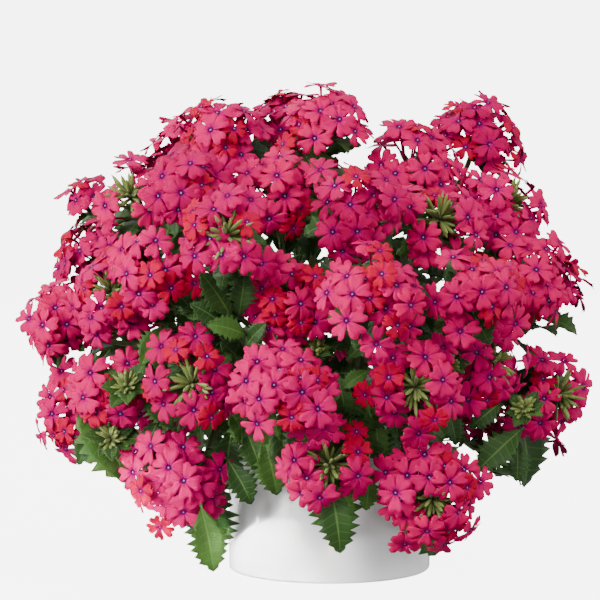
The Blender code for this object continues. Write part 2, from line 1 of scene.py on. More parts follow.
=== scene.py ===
"""The looks of a bushy verbena in flower in its plain white pot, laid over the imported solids.

Lengths are in metres and +Z is up. The origin is the middle of the pot's flat base, and the viewer looks
along +Y. The first classes work out the plant's plan, the same one as the solids', from a few driving sizes.
The next turn it into florets, calyces, stems, leaves, pot and soil, each a surface worked out on a grid of
two parameters. The last ones hold the finishes, the floor, the lights and the camera.
"""

import logging
from collections.abc import Iterator
from dataclasses import dataclass, field
from enum import Enum
from typing import Any

import bpy
import numpy as np
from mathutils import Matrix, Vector
from numpy.typing import NDArray


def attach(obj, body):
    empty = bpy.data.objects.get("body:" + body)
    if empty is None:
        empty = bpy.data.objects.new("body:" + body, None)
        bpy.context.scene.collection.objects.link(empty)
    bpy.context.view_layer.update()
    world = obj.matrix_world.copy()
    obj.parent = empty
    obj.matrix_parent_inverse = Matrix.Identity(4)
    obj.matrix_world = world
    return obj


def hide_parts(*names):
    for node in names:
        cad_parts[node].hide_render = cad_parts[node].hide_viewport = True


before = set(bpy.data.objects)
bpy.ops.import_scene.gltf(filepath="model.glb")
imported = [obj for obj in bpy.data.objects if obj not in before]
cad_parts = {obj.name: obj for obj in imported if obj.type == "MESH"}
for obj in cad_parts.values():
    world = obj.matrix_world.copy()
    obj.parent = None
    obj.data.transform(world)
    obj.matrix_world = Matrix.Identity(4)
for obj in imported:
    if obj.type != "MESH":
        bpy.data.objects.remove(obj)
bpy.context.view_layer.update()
BODY = "root"
Array = NDArray[np.float64]
StemLine = tuple[int, Array]
log = logging.getLogger("verbena")
UP = np.array([0.0, 0.0, 1.0])
FULL_TURN = 2.0 * np.pi
GOLDEN_ANGLE = np.pi * (3.0 - np.sqrt(5.0))

# The range of a turn that may be any, and how many petals a floret has.
ANY_TURN = (0.0, 6.28)
PETALS = 5


def unit(vector: Any) -> Array:
    """Scales a vector, or each row of an array, to length one.

    Args:
        vector: one vector or rows of them.

    Returns:
        The same directions at length one.
    """
    vector = np.asarray(vector, float)
    return vector / np.linalg.norm(vector, axis=-1, keepdims=True)


def axes_about(direction: Array) -> tuple[Array, Array]:
    """Two directions square to this one and to each other, for each row of an array or for one vector.

    Args:
        direction: a unit vector or rows of them.

    Returns:
        The first and the second square direction.
    """
    steep = np.abs(direction[..., 2:3]) >= 0.9
    helper = np.where(steep, np.array([1.0, 0.0, 0.0]), UP)
    first = unit(np.cross(helper, direction))
    return first, np.cross(direction, first)


def around(axis: Array, turn: Any) -> Array:
    """The directions square to an axis, at one turn or a row of turns about it."""
    first, second = axes_about(axis)
    return np.cos(turn)[..., None] * first + np.sin(turn)[..., None] * second


def spread_about(axis: Array, tilt: Array, turn: Array) -> Array:
    """The directions at these tilts from an axis and these turns about it."""
    return np.cos(tilt)[:, None] * axis + np.sin(tilt)[:, None] * around(axis, turn)


class Slot(Enum):
    """The finish slots of the dressed plant."""

    POT = "pot"
    SOIL = "soil"
    PETALS = "petals"
    FOLIAGE = "foliage"


@dataclass(frozen=True)
class Sizes:
    """The plan's driving sizes: the pot's, the viewer's, the mound's, the heads', the stems' and the leaves'.

    Lengths are in metres. The other numbers are counts, shares, or turns in radians.
    """

    pot_radius: float = 0.060
    pot_height: float = 0.112
    pot_wall: float = 0.0035
    pot_floor: float = 0.004
    soil_top: float = 0.098
    view_distance: float = 1.60
    view_height: float = 0.273
    mound_centre: tuple[float, float, float] = (-0.012, 0.004, 0.136)
    mound_half: tuple[float, float, float] = (0.150, 0.122, 0.124)
    mound_slack: float = 1.03
    upturn: float = 0.35
    head_radius: float = 0.0305
    head_gap: float = 0.0006
    back_heads: int = 14
    back_start: float = 0.004
    back_floor: float = 0.060
    spread_points: int = 420
    spread_down: float = 1.55
    pot_clearance: float = 0.004
    side_shift: float = 0.006
    settle_rounds: int = 200
    settle_push: tuple[float, float, float] = (1.0, 1.6, 1.0)
    lowest: float = 0.006
    seen_nod: tuple[float, float, float] = (0.0, -0.25, 0.0)
    unseen_nod: tuple[float, float, float] = (0.0, 0.0, 0.30)
    show_turn: float = 2.2
    low_turn: float = 4.2
    low_head: float = 0.120
    neck_depth: float = 0.75
    stem_radius: float = 0.0026
    shoot_radius: float = 0.0019
    shoot_clearance: float = 0.0045
    over_rim: float = 1.8
    beside_pot: float = 1.1
    shoulder_rise: float = 0.016
    shoulder_swing: float = 0.6
    shoulder_tuck: float = 0.010
    bend_rounds: int = 40
    hole_depth: float = 0.018
    inner_stems: int = 4
    outer_stems: int = 8
    inner_ring: float = 0.016
    outer_ring: float = 0.039
    inner_fork: tuple[float, float] = (0.006, 0.030)
    outer_fork: tuple[float, float] = (0.010, 0.026)
    inner_lean: float = float(np.radians(43.0))
    leaf_length: float = 0.040
    leaf_width: float = 0.62
    leaf_arch: float = 0.10
    leaf_clearance: float = 0.003
    shoot_gap: float = 0.0065
    near_leaf: float = 0.06
    most_leaves: int = 46
    most_small: int = 460
    ring_leaves: int = 9
    ring_turn: float = 2.4
    seed: int = 9

    @property
    def centre(self) -> Array:
        """The mound's centre as an array."""
        return np.array(self.mound_centre)

    @property
    def half(self) -> Array:
        """The mound's half sizes as an array."""
        return np.array(self.mound_half)

    @property
    def eye(self) -> Array:
        """The viewer's eye."""
        return np.array([0.0, -self.view_distance, self.view_height])


@dataclass
class Head:
    """One flower head: the middle of its dome, the way it faces, its radius and the shoot that carries it.

    The way that its florets are turned is show, a little more towards the viewer than the head faces.
    """

    name: str
    middle: Array
    facing: Array
    radius: float
    green_heart: bool
    stem: int = 0
    shoot: Array = field(default_factory=lambda: np.zeros((0, 3)))
    show: Array = field(default_factory=lambda: UP)


@dataclass
class Leaf:
    """One leaf: its root on a shoot, its tip, the way its upper face looks, and its leafy stem."""

    root: Array
    tip: Array
    up: Array
    stem: int

    def frame(self) -> tuple[float, Array, Array]:
        """Works out the blade's own measures.

        Returns:
            Its length, the direction across it, and the way up from it.
        """
        length = float(np.linalg.norm(self.tip - self.root))
        ahead = (self.tip - self.root) / length
        side = unit(np.cross(ahead, self.up))
        return length, side, np.cross(side, ahead)


# The heads that the photograph shows: millimetres right of the pot's axis, millimetres above its base, radius
# in millimetres, and whether green buds show in the head's heart.
FRONT_HEADS: list[tuple[int, int, int, bool]] = [
    (-59, 250, 31, False), (-5, 254, 30, False), (43, 243, 29, False), (87, 247, 31, False),
    (-32, 226, 28, False), (-116, 211, 28, True), (-84, 219, 27, False), (-145, 212, 19, False),
    (13, 208, 31, False), (57, 205, 29, True), (104, 206, 30, True), (-141, 181, 29, False),
    (-98, 180, 28, False), (-66, 193, 28, True), (-127, 157, 31, True), (-155, 146, 27, False),
    (-22, 153, 30, False), (33, 165, 31, False), (80, 159, 30, False), (115, 166, 30, False),
    (-151, 98, 29, False), (-130, 112, 26, False), (-74, 109, 30, True), (-20, 103, 30, False),
    (51, 114, 29, True), (94, 128, 29, True), (131, 104, 30, True), (-89, 52, 33, False), (5, 66, 28, True),
    (53, 46, 33, True),
]

# The ways that the upper faces of the shown leaves, of the loose leaves and of the leafy tips turn.
SHOWN_FACE = np.array([0.0, -0.8, 0.6])
LOOSE_FACE = np.array([0.1, -1.0, 0.45])
TIP_FACE = np.array([0.0, -0.8, 0.75])

# Leaves that show on their own: the head whose shoot they grow from, how far along that shoot, and where the
# tip is seen, in millimetres right, up and in depth.
SHOWN_LEAVES: list[tuple[int, float, int, int, int]] = [
    (27, 0.96, -67, 10, -26),
    (28, 0.96, 6, 15, -66),
    (21, 0.96, -134, 60, -46),
    (24, 0.96, 70, 78, -84),
    (26, 0.96, 118, 48, -2),
    (29, 0.96, 64, 6, -38),
]

# Leaves that only the dressed plant has: where each root and then each tip is seen, in millimetres right, up
# and in depth. They hang over the pot's rim and below the lowest heads.
LOOSE_LEAVES: list[tuple[int, ...]] = [
    (-152, 104, -40, -119, 50, -58), (-140, 84, -48, -150, 62, -60), (-77, 38, -84, -69, -3, -92),
    (-62, 66, -72, -46, 38, -78), (-40, 80, -70, -31, 43, -74), (-14, 84, -72, -4, 50, -76),
    (0, 52, -86, 7, 8, -90), (24, 60, -80, 22, 34, -84), (70, 96, -66, 76, 74, -74),
    (116, 84, -52, 88, 58, -66), (112, 78, -50, 112, 52, -58), (-96, 146, -70, -112, 122, -84),
    (-88, 130, -72, -100, 108, -82), (-58, 148, -100, -76, 176, -112), (-54, 150, -100, -50, 176, -110),
    (-48, 138, -98, -72, 146, -112), (-60, 142, -98, -82, 158, -110), (-50, 132, -98, -38, 146, -108),
    (10, 124, -78, 28, 140, -84), (24, 118, -78, 8, 108, -84), (40, 122, -76, 34, 96, -80),
    (62, 138, -72, 52, 152, -78), (18, 100, -74, 30, 84, -78), (-8, 122, -78, 4, 136, -84),
    (-58, 86, -62, -63, 50, -66), (-52, 86, -66, -40, 56, -72), (-34, 90, -68, -20, 52, -73),
    (-26, 86, -68, -34, 58, -72), (-62, 96, -60, -44, 70, -68), (-10, 94, -70, -24, 66, -73),
    (12, 114, -72, 8, 82, -77), (22, 106, -72, 15, 74, -77), (2, 102, -74, 22, 92, -80),
    (40, 88, -70, 32, 60, -76), (46, 82, -70, 48, 56, -74), (-38, 100, -66, -35, 68, -73),
    (4, 118, -74, 10, 88, -80), (15, 100, -75, 8, 70, -80), (26, 94, -72, 30, 62, -76),
    (-112, 108, -62, -94, 84, -70), (-100, 92, -60, -112, 66, -66), (104, 100, -62, 84, 84, -70),
]

# Leafy tips without flowers: where each is seen, in millimetres right, up and in depth, and its reach.
LEAFY_TIPS: list[tuple[int, int, int, int]] = [
    (-54, 170, -84, 15),
    (-120, 104, -72, 17),
    (-130, 74, -60, 16),
    (-8, 128, -84, 12),
    (70, 118, -78, 13),
    (116, 92, -60, 13),
]


@dataclass(frozen=True)
class Growth:
    """How pairs of leaves grow on the shoots.

    The places are shares of a shoot, and the lengths are shares of the leaf length. A pair leans ahead along
    the shoot, whose direction there starts so many hundredths behind, and out of the mound. Its upper faces
    turn with the head, and it keeps a gap from other leaves and stays off the heads.
    """

    seed: int
    places: tuple[float, ...]
    behind: int
    lengths: tuple[float, float]
    ahead: float
    out: float
    face: float
    gap: float
    off: float


LARGE_PLACES = (0.45, 0.80, 0.62, 0.92)
SMALL_PLACES = (0.95, 0.84, 0.72, 0.60, 0.46, 0.32, 0.18, 0.90, 0.78, 0.66, 0.52, 0.40, 0.25)
LARGE_GROWTH = Growth(7, LARGE_PLACES, 0, (0.75, 1.1), 0.45, 0.55, 1.0, 0.0068, 0.002)
SMALL_GROWTH = Growth(8, SMALL_PLACES, 4, (0.45, 0.85), 0.30, 0.5, 0.9, 0.0020, -0.003)


def resampled(path: Array, count: int) -> Array:
    """Sets evenly numbered points along a line.

    Args:
        path: the line's points, one a row.
        count: how many points to give.

    Returns:
        The same line with that many points.
    """
    place = np.linspace(0, len(path) - 1, count)
    return np.column_stack([np.interp(place, np.arange(len(path)), path[:, axis]) for axis in range(3)])


def smooth_path(path: Array, count: int) -> Array:
    """Rounds a line's corners: a Catmull-Rom curve through its points.

    Each stretch between two points is a cubic whose end slopes are half the step between their neighbours.

    Args:
        path: the line's points, one a row.
        count: how many points to give.

    Returns:
        Points along the curve.
    """
    slopes = np.gradient(path, axis=0)
    place = np.linspace(0, len(path) - 1, count)
    start = np.minimum(place.astype(int), len(path) - 2)
    t = (place - start)[:, None]
    ends = path[start], path[start + 1]
    tangents = slopes[start], slopes[start + 1]
    return (
        (2 * t**3 - 3 * t**2 + 1) * ends[0]
        + (t**3 - 2 * t**2 + t) * tangents[0]
        + (3 * t**2 - 2 * t**3) * ends[1]
        + (t**3 - t**2) * tangents[1]
    )


def fullness(along: Array) -> Array:
    """A blade's width at a share of its length: broad near the root and drawn out to the tip."""
    return 2.45 * along**0.62 * (1.0 - along) ** 0.85


def nearest(points: Array, others: Array) -> float:
    """The least distance between two sets of points.

    Args:
        points: rows of points.
        others: rows of points, perhaps none.

    Returns:
        The distance, or infinity where a set is empty.
    """
    if not len(others):
        return float("inf")
    return float(np.linalg.norm(points[:, None] - others[None], axis=2).min())


@dataclass
class Plan:
    """Where every head, stem and leaf of the plant is, worked out as for the solids."""

    sizes: Sizes = field(default_factory=Sizes)

    def in_sight(self, across: float, up: float, depth: float) -> Array:
        """Finds a point on a line of sight: the eye plus the ray through the pot's plane, out to a depth.

        Args:
            across: where the ray crosses the plane through the pot's axis, to the right.
            up: the same, above the base.
            depth: the point's own Y.

        Returns:
            The point.
        """
        ray = np.array([across, 0.0, up]) - self.sizes.eye
        return self.sizes.eye + ray * (self.sizes.view_distance + depth) / self.sizes.view_distance

    def seen_place(self, point: Array) -> Array:
        """Where the viewer sees a point: across and up on the plane through the pot's axis."""
        share = self.sizes.view_distance / (point[1] + self.sizes.view_distance)
        return (self.sizes.eye + (point - self.sizes.eye) * share)[[0, 2]]

    def mound_normal(self, point: Array) -> Array:
        """The way out of the mound at a point, turned a little up, as flower heads turn to the light."""
        out = unit((point - self.sizes.centre) / self.sizes.half**2)
        return unit(out + self.sizes.upturn * UP)

    def front_depth(self, across: float, up: float, radius: float) -> float:
        """Finds how far forward the mound's front lies, and far enough to clear the pot below its rim.

        Args:
            across: place to the right of the pot's axis.
            up: place above the base.
            radius: the head's radius there.

        Returns:
            The depth as a Y value.
        """
        s = self.sizes
        flat = ((across - s.centre[0]) / s.half[0]) ** 2 + ((up - s.centre[2]) / s.half[2]) ** 2
        depth = s.half[1] * np.sqrt(max(1.0 - flat, 0.0)) - s.centre[1]
        if up < s.pot_height:
            clear = s.pot_radius + radius + s.pot_clearance
            depth = max(depth, np.sqrt(max(clear**2 - across**2, 0.0)))
        return float(-depth)

    def front_heads(self) -> list[Head]:
        """Sets the front heads on the mound, along their lines of sight.

        Returns:
            The heads.
        """
        heads = []
        for number, (across, up, radius, green) in enumerate(FRONT_HEADS):
            x, z, r = across / 1000, up / 1000, radius / 1000
            middle = self.in_sight(x, z, self.front_depth(x, z, r))
            heads.append(Head(f"head_{number:02d}", middle, self.mound_normal(middle), r, green))
        return heads

    def spread_points(self, count: int) -> Array:
        """Spreads points over the mound by the golden angle, from its top to below its widest ring.

        Args:
            count: how many points.

        Returns:
            The points, one a row.
        """
        turn = GOLDEN_ANGLE * np.arange(count)
        height = 1.0 - self.sizes.spread_down * (np.arange(count) + 0.5) / count
        flat = np.sqrt(1.0 - height**2)
        on_ball = np.column_stack((flat * np.cos(turn), flat * np.sin(turn), height))
        return self.sizes.centre + self.sizes.half * on_ball

    def back_heads(self, heads: list[Head]) -> list[Head]:
        """Fills the mound's back: each new head goes to the spread point that is furthest from the others.

        Args:
            heads: the heads that are there already.

        Returns:
            The new heads.
        """
        s = self.sizes
        points = self.spread_points(s.spread_points)
        points = points[(points[:, 1] > s.back_start) & (points[:, 2] > s.back_floor)]
        clear = np.hypot(points[:, 0], points[:, 1]) > s.pot_radius + s.head_radius
        points = points[clear | (points[:, 2] > s.pot_height + s.head_radius)]
        made: list[Head] = []
        for number in range(s.back_heads):
            others = np.array([head.middle for head in heads + made])
            gaps = np.linalg.norm(points[:, None] - others[None], axis=2).min(axis=1)
            middle = points[int(np.argmax(gaps))]
            name = f"head_{len(heads) + number:02d}"
            made.append(Head(name, middle, self.mound_normal(middle), s.head_radius, number % 3 == 0))
        return made

    def settle(self, heads: list[Head], shown: int) -> None:
        """Moves heads that meet apart, the shown ones mostly in depth, so that each keeps its seen place.

        Args:
            heads: all the heads; their middles are changed.
            shown: how many of the first ones the photograph shows.
        """
        s = self.sizes
        placed = [self.seen_place(head.middle) for head in heads[:shown]]
        middles = np.array([head.middle for head in heads])
        radii = np.array([head.radius for head in heads])
        need = radii[:, None] + radii[None] + s.head_gap
        np.fill_diagonal(need, 0.0)
        for _ in range(s.settle_rounds):
            apart = middles[:, None] - middles[None]
            distance = np.linalg.norm(apart, axis=2) + 1e-9
            push = np.maximum(need - distance, 0.0) / distance
            move = 0.35 * (apart * push[..., None]).sum(axis=1)
            middles += move * np.array(s.settle_push)
            for number, radius in enumerate(radii):
                home = placed[number] if number < shown else None
                middles[number] = self.held_middle(middles[number], radius, home)
        for head, middle in zip(heads, middles):
            head.middle = middle

    def held_middle(self, middle: Array, radius: float, home: Array | None) -> Array:
        """Holds a head's middle near its seen place or on the mound, clear of the pot and of the ground.

        Args:
            middle: where the head has been pushed to.
            radius: its radius.
            home: its seen place, or None for a head that the photograph doesn't show.

        Returns:
            The middle, brought back where it has to be.
        """
        s = self.sizes
        out = np.linalg.norm((middle - s.centre) / s.half)
        if home is not None:
            shift = self.seen_place(middle) - home
            shift *= min(1.0, s.side_shift / (np.linalg.norm(shift) + 1e-9))
            middle = self.in_sight(*(home + shift), max(middle[1], -s.half[1] * 1.02))
        elif out > s.mound_slack:
            middle = s.centre + (middle - s.centre) * s.mound_slack / out
        clear = s.pot_radius + 0.9 * radius + s.pot_clearance
        reach = np.hypot(middle[0], middle[1])
        if middle[2] < s.pot_height + 0.9 * radius and reach < clear:
            middle = middle * np.array([clear / reach, clear / reach, 1.0])
        middle[2] = max(middle[2], s.lowest + radius)
        return middle

    def size_heads(self, heads: list[Head]) -> None:
        """Takes what overlap is left off the radii of each two heads that still meet.

        Args:
            heads: all the heads; their radii are changed.
        """
        radii = np.array([head.radius for head in heads])
        for row, head in enumerate(heads):
            for other in range(row + 1, len(heads)):
                apart = np.linalg.norm(head.middle - heads[other].middle)
                spare = apart - self.sizes.head_gap - radii[row] - radii[other]
                if spare < 0:
                    share = radii[row] / (radii[row] + radii[other])
                    radii[row] += spare * share
                    radii[other] += spare * (1.0 - share)
        for head, radius in zip(heads, radii):
            head.radius = float(radius)

    def stem_of(self, middle: Array) -> int:
        """Picks the leafy stem of a head: an inner one for the mound's top, or the outer one its way.

        Args:
            middle: the head's middle.

        Returns:
            The stem's number.
        """
        s = self.sizes
        reach = np.hypot(middle[0], middle[1])
        turn = np.arctan2(middle[1], middle[0]) % FULL_TURN
        if np.arctan2(reach, middle[2] - s.soil_top) < s.inner_lean:
            return int(turn / (FULL_TURN / s.inner_stems))
        return s.inner_stems + int(turn / (FULL_TURN / s.outer_stems))

    def stem_turn(self, stem: int) -> float:
        """Finds the direction round the pot in which a leafy stem stands.

        Args:
            stem: the stem's number.

        Returns:
            The turn from +X.
        """
        s = self.sizes
        if stem < s.inner_stems:
            return (stem + 0.5) * FULL_TURN / s.inner_stems
        return (stem - s.inner_stems + 0.5) * FULL_TURN / s.outer_stems

    def stem_path(self, stem: int) -> Array:
        """Draws the main stem from the bottom of its hole, straight up out of the soil and out to its fork.

        Args:
            stem: the stem's number.

        Returns:
            Its points, one a row.
        """
        s = self.sizes
        turn = self.stem_turn(stem)
        out = np.array([np.cos(turn), np.sin(turn), 0.0])
        inner = stem < s.inner_stems
        foot = (s.inner_ring if inner else s.outer_ring) * out
        lean, rise = s.inner_fork if inner else s.outer_fork
        end = s.soil_top - s.hole_depth + 0.0005
        steps = [(0.0, end), (0.0, s.soil_top + 0.004), (lean, s.soil_top + rise)]
        return np.array([foot + out * away + UP * height for away, height in steps])

    def off_the_pot(self, point: Array) -> Array:
        """Moves a point up over the rim or out beside the pot, whichever is nearer.

        Args:
            point: the point.

        Returns:
            The point, moved or not.
        """
        s = self.sizes
        reach = np.hypot(point[0], point[1])
        over = s.pot_height + s.over_rim * s.shoot_clearance
        beside = s.pot_radius + s.beside_pot * s.shoot_clearance
        if reach >= beside or point[2] >= over:
            return point
        if over - point[2] < beside - reach:
            return np.array([point[0], point[1], over])
        return point * np.array([beside / reach, beside / reach, 1.0])

    def shoot_path(self, head: Head, heads: list[Head], count: int = 6) -> Array:
        """Draws a shoot from the fork to the back of its head, over the rim and clear of the other heads.

        It starts as a curve of three points. Each round evens it out, and moves its inner points off the
        heads and off the pot.

        Args:
            head: the head that it carries.
            heads: all the heads.
            count: how many points it has.

        Returns:
            Its points, from fork to neck.
        """
        s = self.sizes
        fork = self.stem_path(head.stem)[-1]
        neck = head.middle - head.facing * head.radius * s.neck_depth
        reach = np.hypot(neck[0], neck[1])
        shoulder = 0.5 * (fork + neck)
        if head.stem >= s.inner_stems:
            lean = self.stem_turn(head.stem)
            swing = (np.arctan2(neck[1], neck[0]) - lean + np.pi) % FULL_TURN - np.pi
            turn = lean + s.shoulder_swing * swing
            out = 0.5 * (np.hypot(fork[0], fork[1]) + max(reach - s.shoulder_tuck, 0.0))
            height = max(shoulder[2], s.pot_height + s.shoulder_rise)
            shoulder = np.array([np.cos(turn) * out, np.sin(turn) * out, height])
        t = np.linspace(0.0, 1.0, count)[:, None]
        curve = (1 - t) ** 2 * fork + 2 * t * (1 - t) * shoulder + t**2 * neck
        for _ in range(s.bend_rounds):
            curve[1:-1] = 0.6 * curve[1:-1] + 0.2 * (curve[:-2] + curve[2:])
            for place in range(1, count - 1):
                point = curve[place]
                for other in heads:
                    if other is not head:
                        point = pushed_out(point, other.middle, other.radius + s.shoot_clearance)
                own = head.middle + 0.35 * head.facing * head.radius
                curve[place] = self.off_the_pot(pushed_out(point, own, 1.1 * head.radius))
        return curve

    def leaf_samples(self, leaf: Leaf) -> Array:
        """Sets points over a blade: five lines from root to tip on its arched surface.

        Args:
            leaf: the leaf.

        Returns:
            The points, one a row.
        """
        along = np.linspace(0.12, 1.0, 8)[:, None]
        length, side, up = leaf.frame()
        arch = up * length * self.sizes.leaf_arch * 4.0 * along * (1.0 - along)
        points = leaf.root + (leaf.tip - leaf.root) * along + arch
        half = 0.5 * self.sizes.leaf_width * fullness(along) * length
        return np.concatenate([points + side * half * across for across in (-1.0, -0.5, 0.0, 0.5, 1.0)])

    def leaf_is_clear(
        self, leaf: Leaf, heads: list[Head], shoots: list[StemLine], leaves: list[Array], growth: Growth
    ) -> bool:
        """Tells whether a leaf keeps off the heads, the pot, the ground, other stems and the other leaves.

        Args:
            leaf: the leaf to test.
            heads: the heads that it must clear.
            shoots: each stem's number with points along a shoot.
            leaves: the sample points of the leaves that are there.
            growth: how far it keeps off the heads and the leaves.

        Returns:
            True where it is clear.
        """
        s = self.sizes
        points = self.leaf_samples(leaf)
        reach = np.hypot(points[:, 0], points[:, 1])
        beside = points[:, 2] < s.pot_height + s.pot_clearance
        if (points[beside][:, 2] < s.lowest).any() or (reach[beside] < s.pot_radius + s.leaf_clearance).any():
            return False
        if any(nearest(points, head.middle[None]) < head.radius + growth.off for head in heads):
            return False
        if any(stem != leaf.stem and nearest(points, path) < s.shoot_gap for stem, path in shoots):
            return False
        middle = points.mean(axis=0)
        near = [other for other in leaves if np.linalg.norm(other.mean(axis=0) - middle) < s.near_leaf]
        return all(nearest(points, other) > growth.gap for other in near)

    def shoot_lines(self, heads: list[Head]) -> list[StemLine]:
        """Gives every shoot and main stem as points.

        Args:
            heads: all the heads, with their shoots.

        Returns:
            Each line's points, with the number of its leafy stem.
        """
        lines = [(head.stem, resampled(head.shoot, 24)) for head in heads]
        count = self.sizes.inner_stems + self.sizes.outer_stems
        return lines + [(stem, resampled(self.stem_path(stem), 12)) for stem in range(count)]

    def pairs(self, heads: list[Head], growth: Growth) -> Iterator[Leaf]:
        """Offers opposite pairs of leaves along every shoot, the best places first.

        Args:
            heads: all the heads, with their shoots.
            growth: where the leaves grow, how long, and which way they lean.

        Yields:
            The leaves, whether there is room for them or not.
        """
        rng = np.random.default_rng(growth.seed)
        for place in (int(100 * share) for share in growth.places):
            for head in heads:
                path = resampled(head.shoot, 101)
                root = path[place]
                ahead = unit(path[min(place + 4, 100)] - path[place - growth.behind])
                across = unit(np.cross(ahead, unit(rng.normal(size=3))))
                for side in (1.0, -1.0):
                    length = self.sizes.leaf_length * rng.uniform(*growth.lengths)
                    out = growth.out * unit(root - self.sizes.centre)
                    tip = root + unit(side * across + growth.ahead * ahead + out) * length
                    yield Leaf(root, tip, unit(growth.face * head.facing + 0.6 * UP), head.stem)

    def fill(
        self, heads: list[Head], leaves: list[Leaf], shoots: list[StemLine], growth: Growth, most: int
    ) -> list[Leaf]:
        """Grows pairs of leaves along the shoots wherever there is room.

        Args:
            heads: all the heads, with their shoots.
            leaves: the leaves that are there already.
            shoots: the stems that the new ones must clear.
            growth: how the new ones grow.
            most: how many to grow at most.

        Returns:
            The new leaves.
        """
        taken = [self.leaf_samples(leaf) for leaf in leaves]
        grown: list[Leaf] = []
        for leaf in self.pairs(heads, growth):
            if len(grown) < most and self.leaf_is_clear(leaf, heads, shoots, taken, growth):
                grown.append(leaf)
                taken.append(self.leaf_samples(leaf))
        return grown

    def large_leaves(self, heads: list[Head]) -> list[Leaf]:
        """Grows the shown leaves first, then opposite pairs along the shoots.

        Args:
            heads: all the heads, with their shoots.

        Returns:
            The leaves.
        """
        shoots = self.shoot_lines(heads)
        leaves: list[Leaf] = []
        for number, place, across, up, depth in SHOWN_LEAVES:
            head = heads[number]
            root = resampled(head.shoot, 101)[int(100 * place)]
            tip = self.in_sight(across / 1000, up / 1000, depth / 1000)
            leaf = Leaf(root, tip, unit(SHOWN_FACE + head.facing), head.stem)
            others = [other for other in heads if other is not head]
            taken = [self.leaf_samples(other) for other in leaves]
            if self.leaf_is_clear(leaf, others, shoots, taken, LARGE_GROWTH):
                leaves.append(leaf)
        return leaves + self.fill(heads, leaves, shoots, LARGE_GROWTH, self.sizes.most_leaves - len(leaves))

    def seen_leaves(self, heads: list[Head]) -> list[Leaf]:
        """Sets the loose leaves, and a ring of them round each leafy tip, on the nearest shoot's stem.

        Args:
            heads: all the heads, with their shoots.

        Returns:
            The leaves.
        """
        made = []
        for ends in LOOSE_LEAVES:
            root, tip = (self.in_sight(*(np.array(end) / 1000)) for end in (ends[:3], ends[3:]))
            made.append(Leaf(root, tip, unit(LOOSE_FACE), self.nearest_stem(root, heads)))
        rng = np.random.default_rng(self.sizes.seed)
        for bud in self.leafy_tips(heads):
            for turn in np.arange(self.sizes.ring_leaves) * self.sizes.ring_turn:
                out = around(bud.show, turn)
                heading = unit(out + bud.show * rng.uniform(0.15, 0.9)) * bud.radius * rng.uniform(0.8, 1.25)
                made.append(Leaf(bud.middle, bud.middle + heading, unit(bud.show + 0.3 * out), bud.stem))
        return made

    @staticmethod
    def nearest_stem(point: Array, heads: list[Head]) -> int:
        """The number of the leafy stem whose shoots come nearest to a point."""
        return heads[int(np.argmin([nearest(point[None], head.shoot) for head in heads]))].stem

    def leafy_tips(self, heads: list[Head]) -> list[Head]:
        """Sets the leafy tips, as small heads on the nearest shoot's stem.

        Args:
            heads: all the heads, with their shoots.

        Returns:
            The tips.
        """
        tips, show = [], unit(TIP_FACE)
        for number, (across, up, depth, reach) in enumerate(LEAFY_TIPS):
            middle = self.in_sight(across / 1000, up / 1000, depth / 1000)
            stem = self.nearest_stem(middle, heads)
            tips.append(Head(f"tip_{number}", middle, show, reach / 1000, True, stem, show=show))
        return tips

    def collar_leaves(self, heads: list[Head]) -> list[Leaf]:
        """Sets the ring of small leaves under each head's florets, spread round its neck.

        Args:
            heads: all the heads.

        Returns:
            The leaves, each reaching no further than the head does.
        """
        rng = np.random.default_rng(self.sizes.seed + 1)
        made = []
        for head in heads:
            for number in range(self.sizes.ring_leaves):
                out = around(head.show, self.sizes.ring_turn * number + rng.uniform(-0.3, 0.3))
                root = head.middle - head.show * head.radius * rng.uniform(0.15, 0.75)
                reach = head.radius * rng.uniform(0.70, 0.98)
                tip = root + unit(out + head.show * rng.uniform(-0.15, 0.35)) * reach
                made.append(Leaf(root, tip, unit(head.show + 0.3 * rng.normal(size=3)), head.stem))
        return made

    def small_leaves(self, heads: list[Head], leaves: list[Leaf]) -> list[Leaf]:
        """Grows the small leaves: close pairs inside the plant, and a collar under each head."""
        inside = self.fill(heads, leaves, [], SMALL_GROWTH, self.sizes.most_small)
        return inside + self.collar_leaves(heads)

    def lay_out(self) -> tuple[list[Head], list[Leaf]]:
        """Works out the whole plant.

        Returns:
            Every head with its size, stem and shoot, and every large leaf.
        """
        heads = self.front_heads()
        shown = len(heads)
        heads += self.back_heads(heads)
        self.settle(heads, shown)
        self.size_heads(heads)
        s = self.sizes
        for number, head in enumerate(heads):
            # The seen heads nod to the viewer, the low ones most, and the others turn up.
            nod = np.array(s.seen_nod if number < shown else s.unseen_nod)
            head.facing = unit(self.mound_normal(head.middle) + nod)
            head.show = unit(head.facing + (s.low_turn if head.middle[2] < s.low_head else s.show_turn) * nod)
            head.stem = self.stem_of(head.middle)
        for head in heads:
            head.shoot = self.shoot_path(head, heads)
        return heads, self.large_leaves(heads)


def pushed_out(point: Array, centre: Array, clear: float) -> Array:
    """Moves a point straight away from a centre until it is far enough off.

    Args:
        point: the point.
        centre: what it keeps off.
        clear: how far.

    Returns:
        The point, moved or not.
    """
    away = point - centre
    distance = float(np.linalg.norm(away)) + 1e-9
    return point if distance >= clear else centre + away * clear / distance


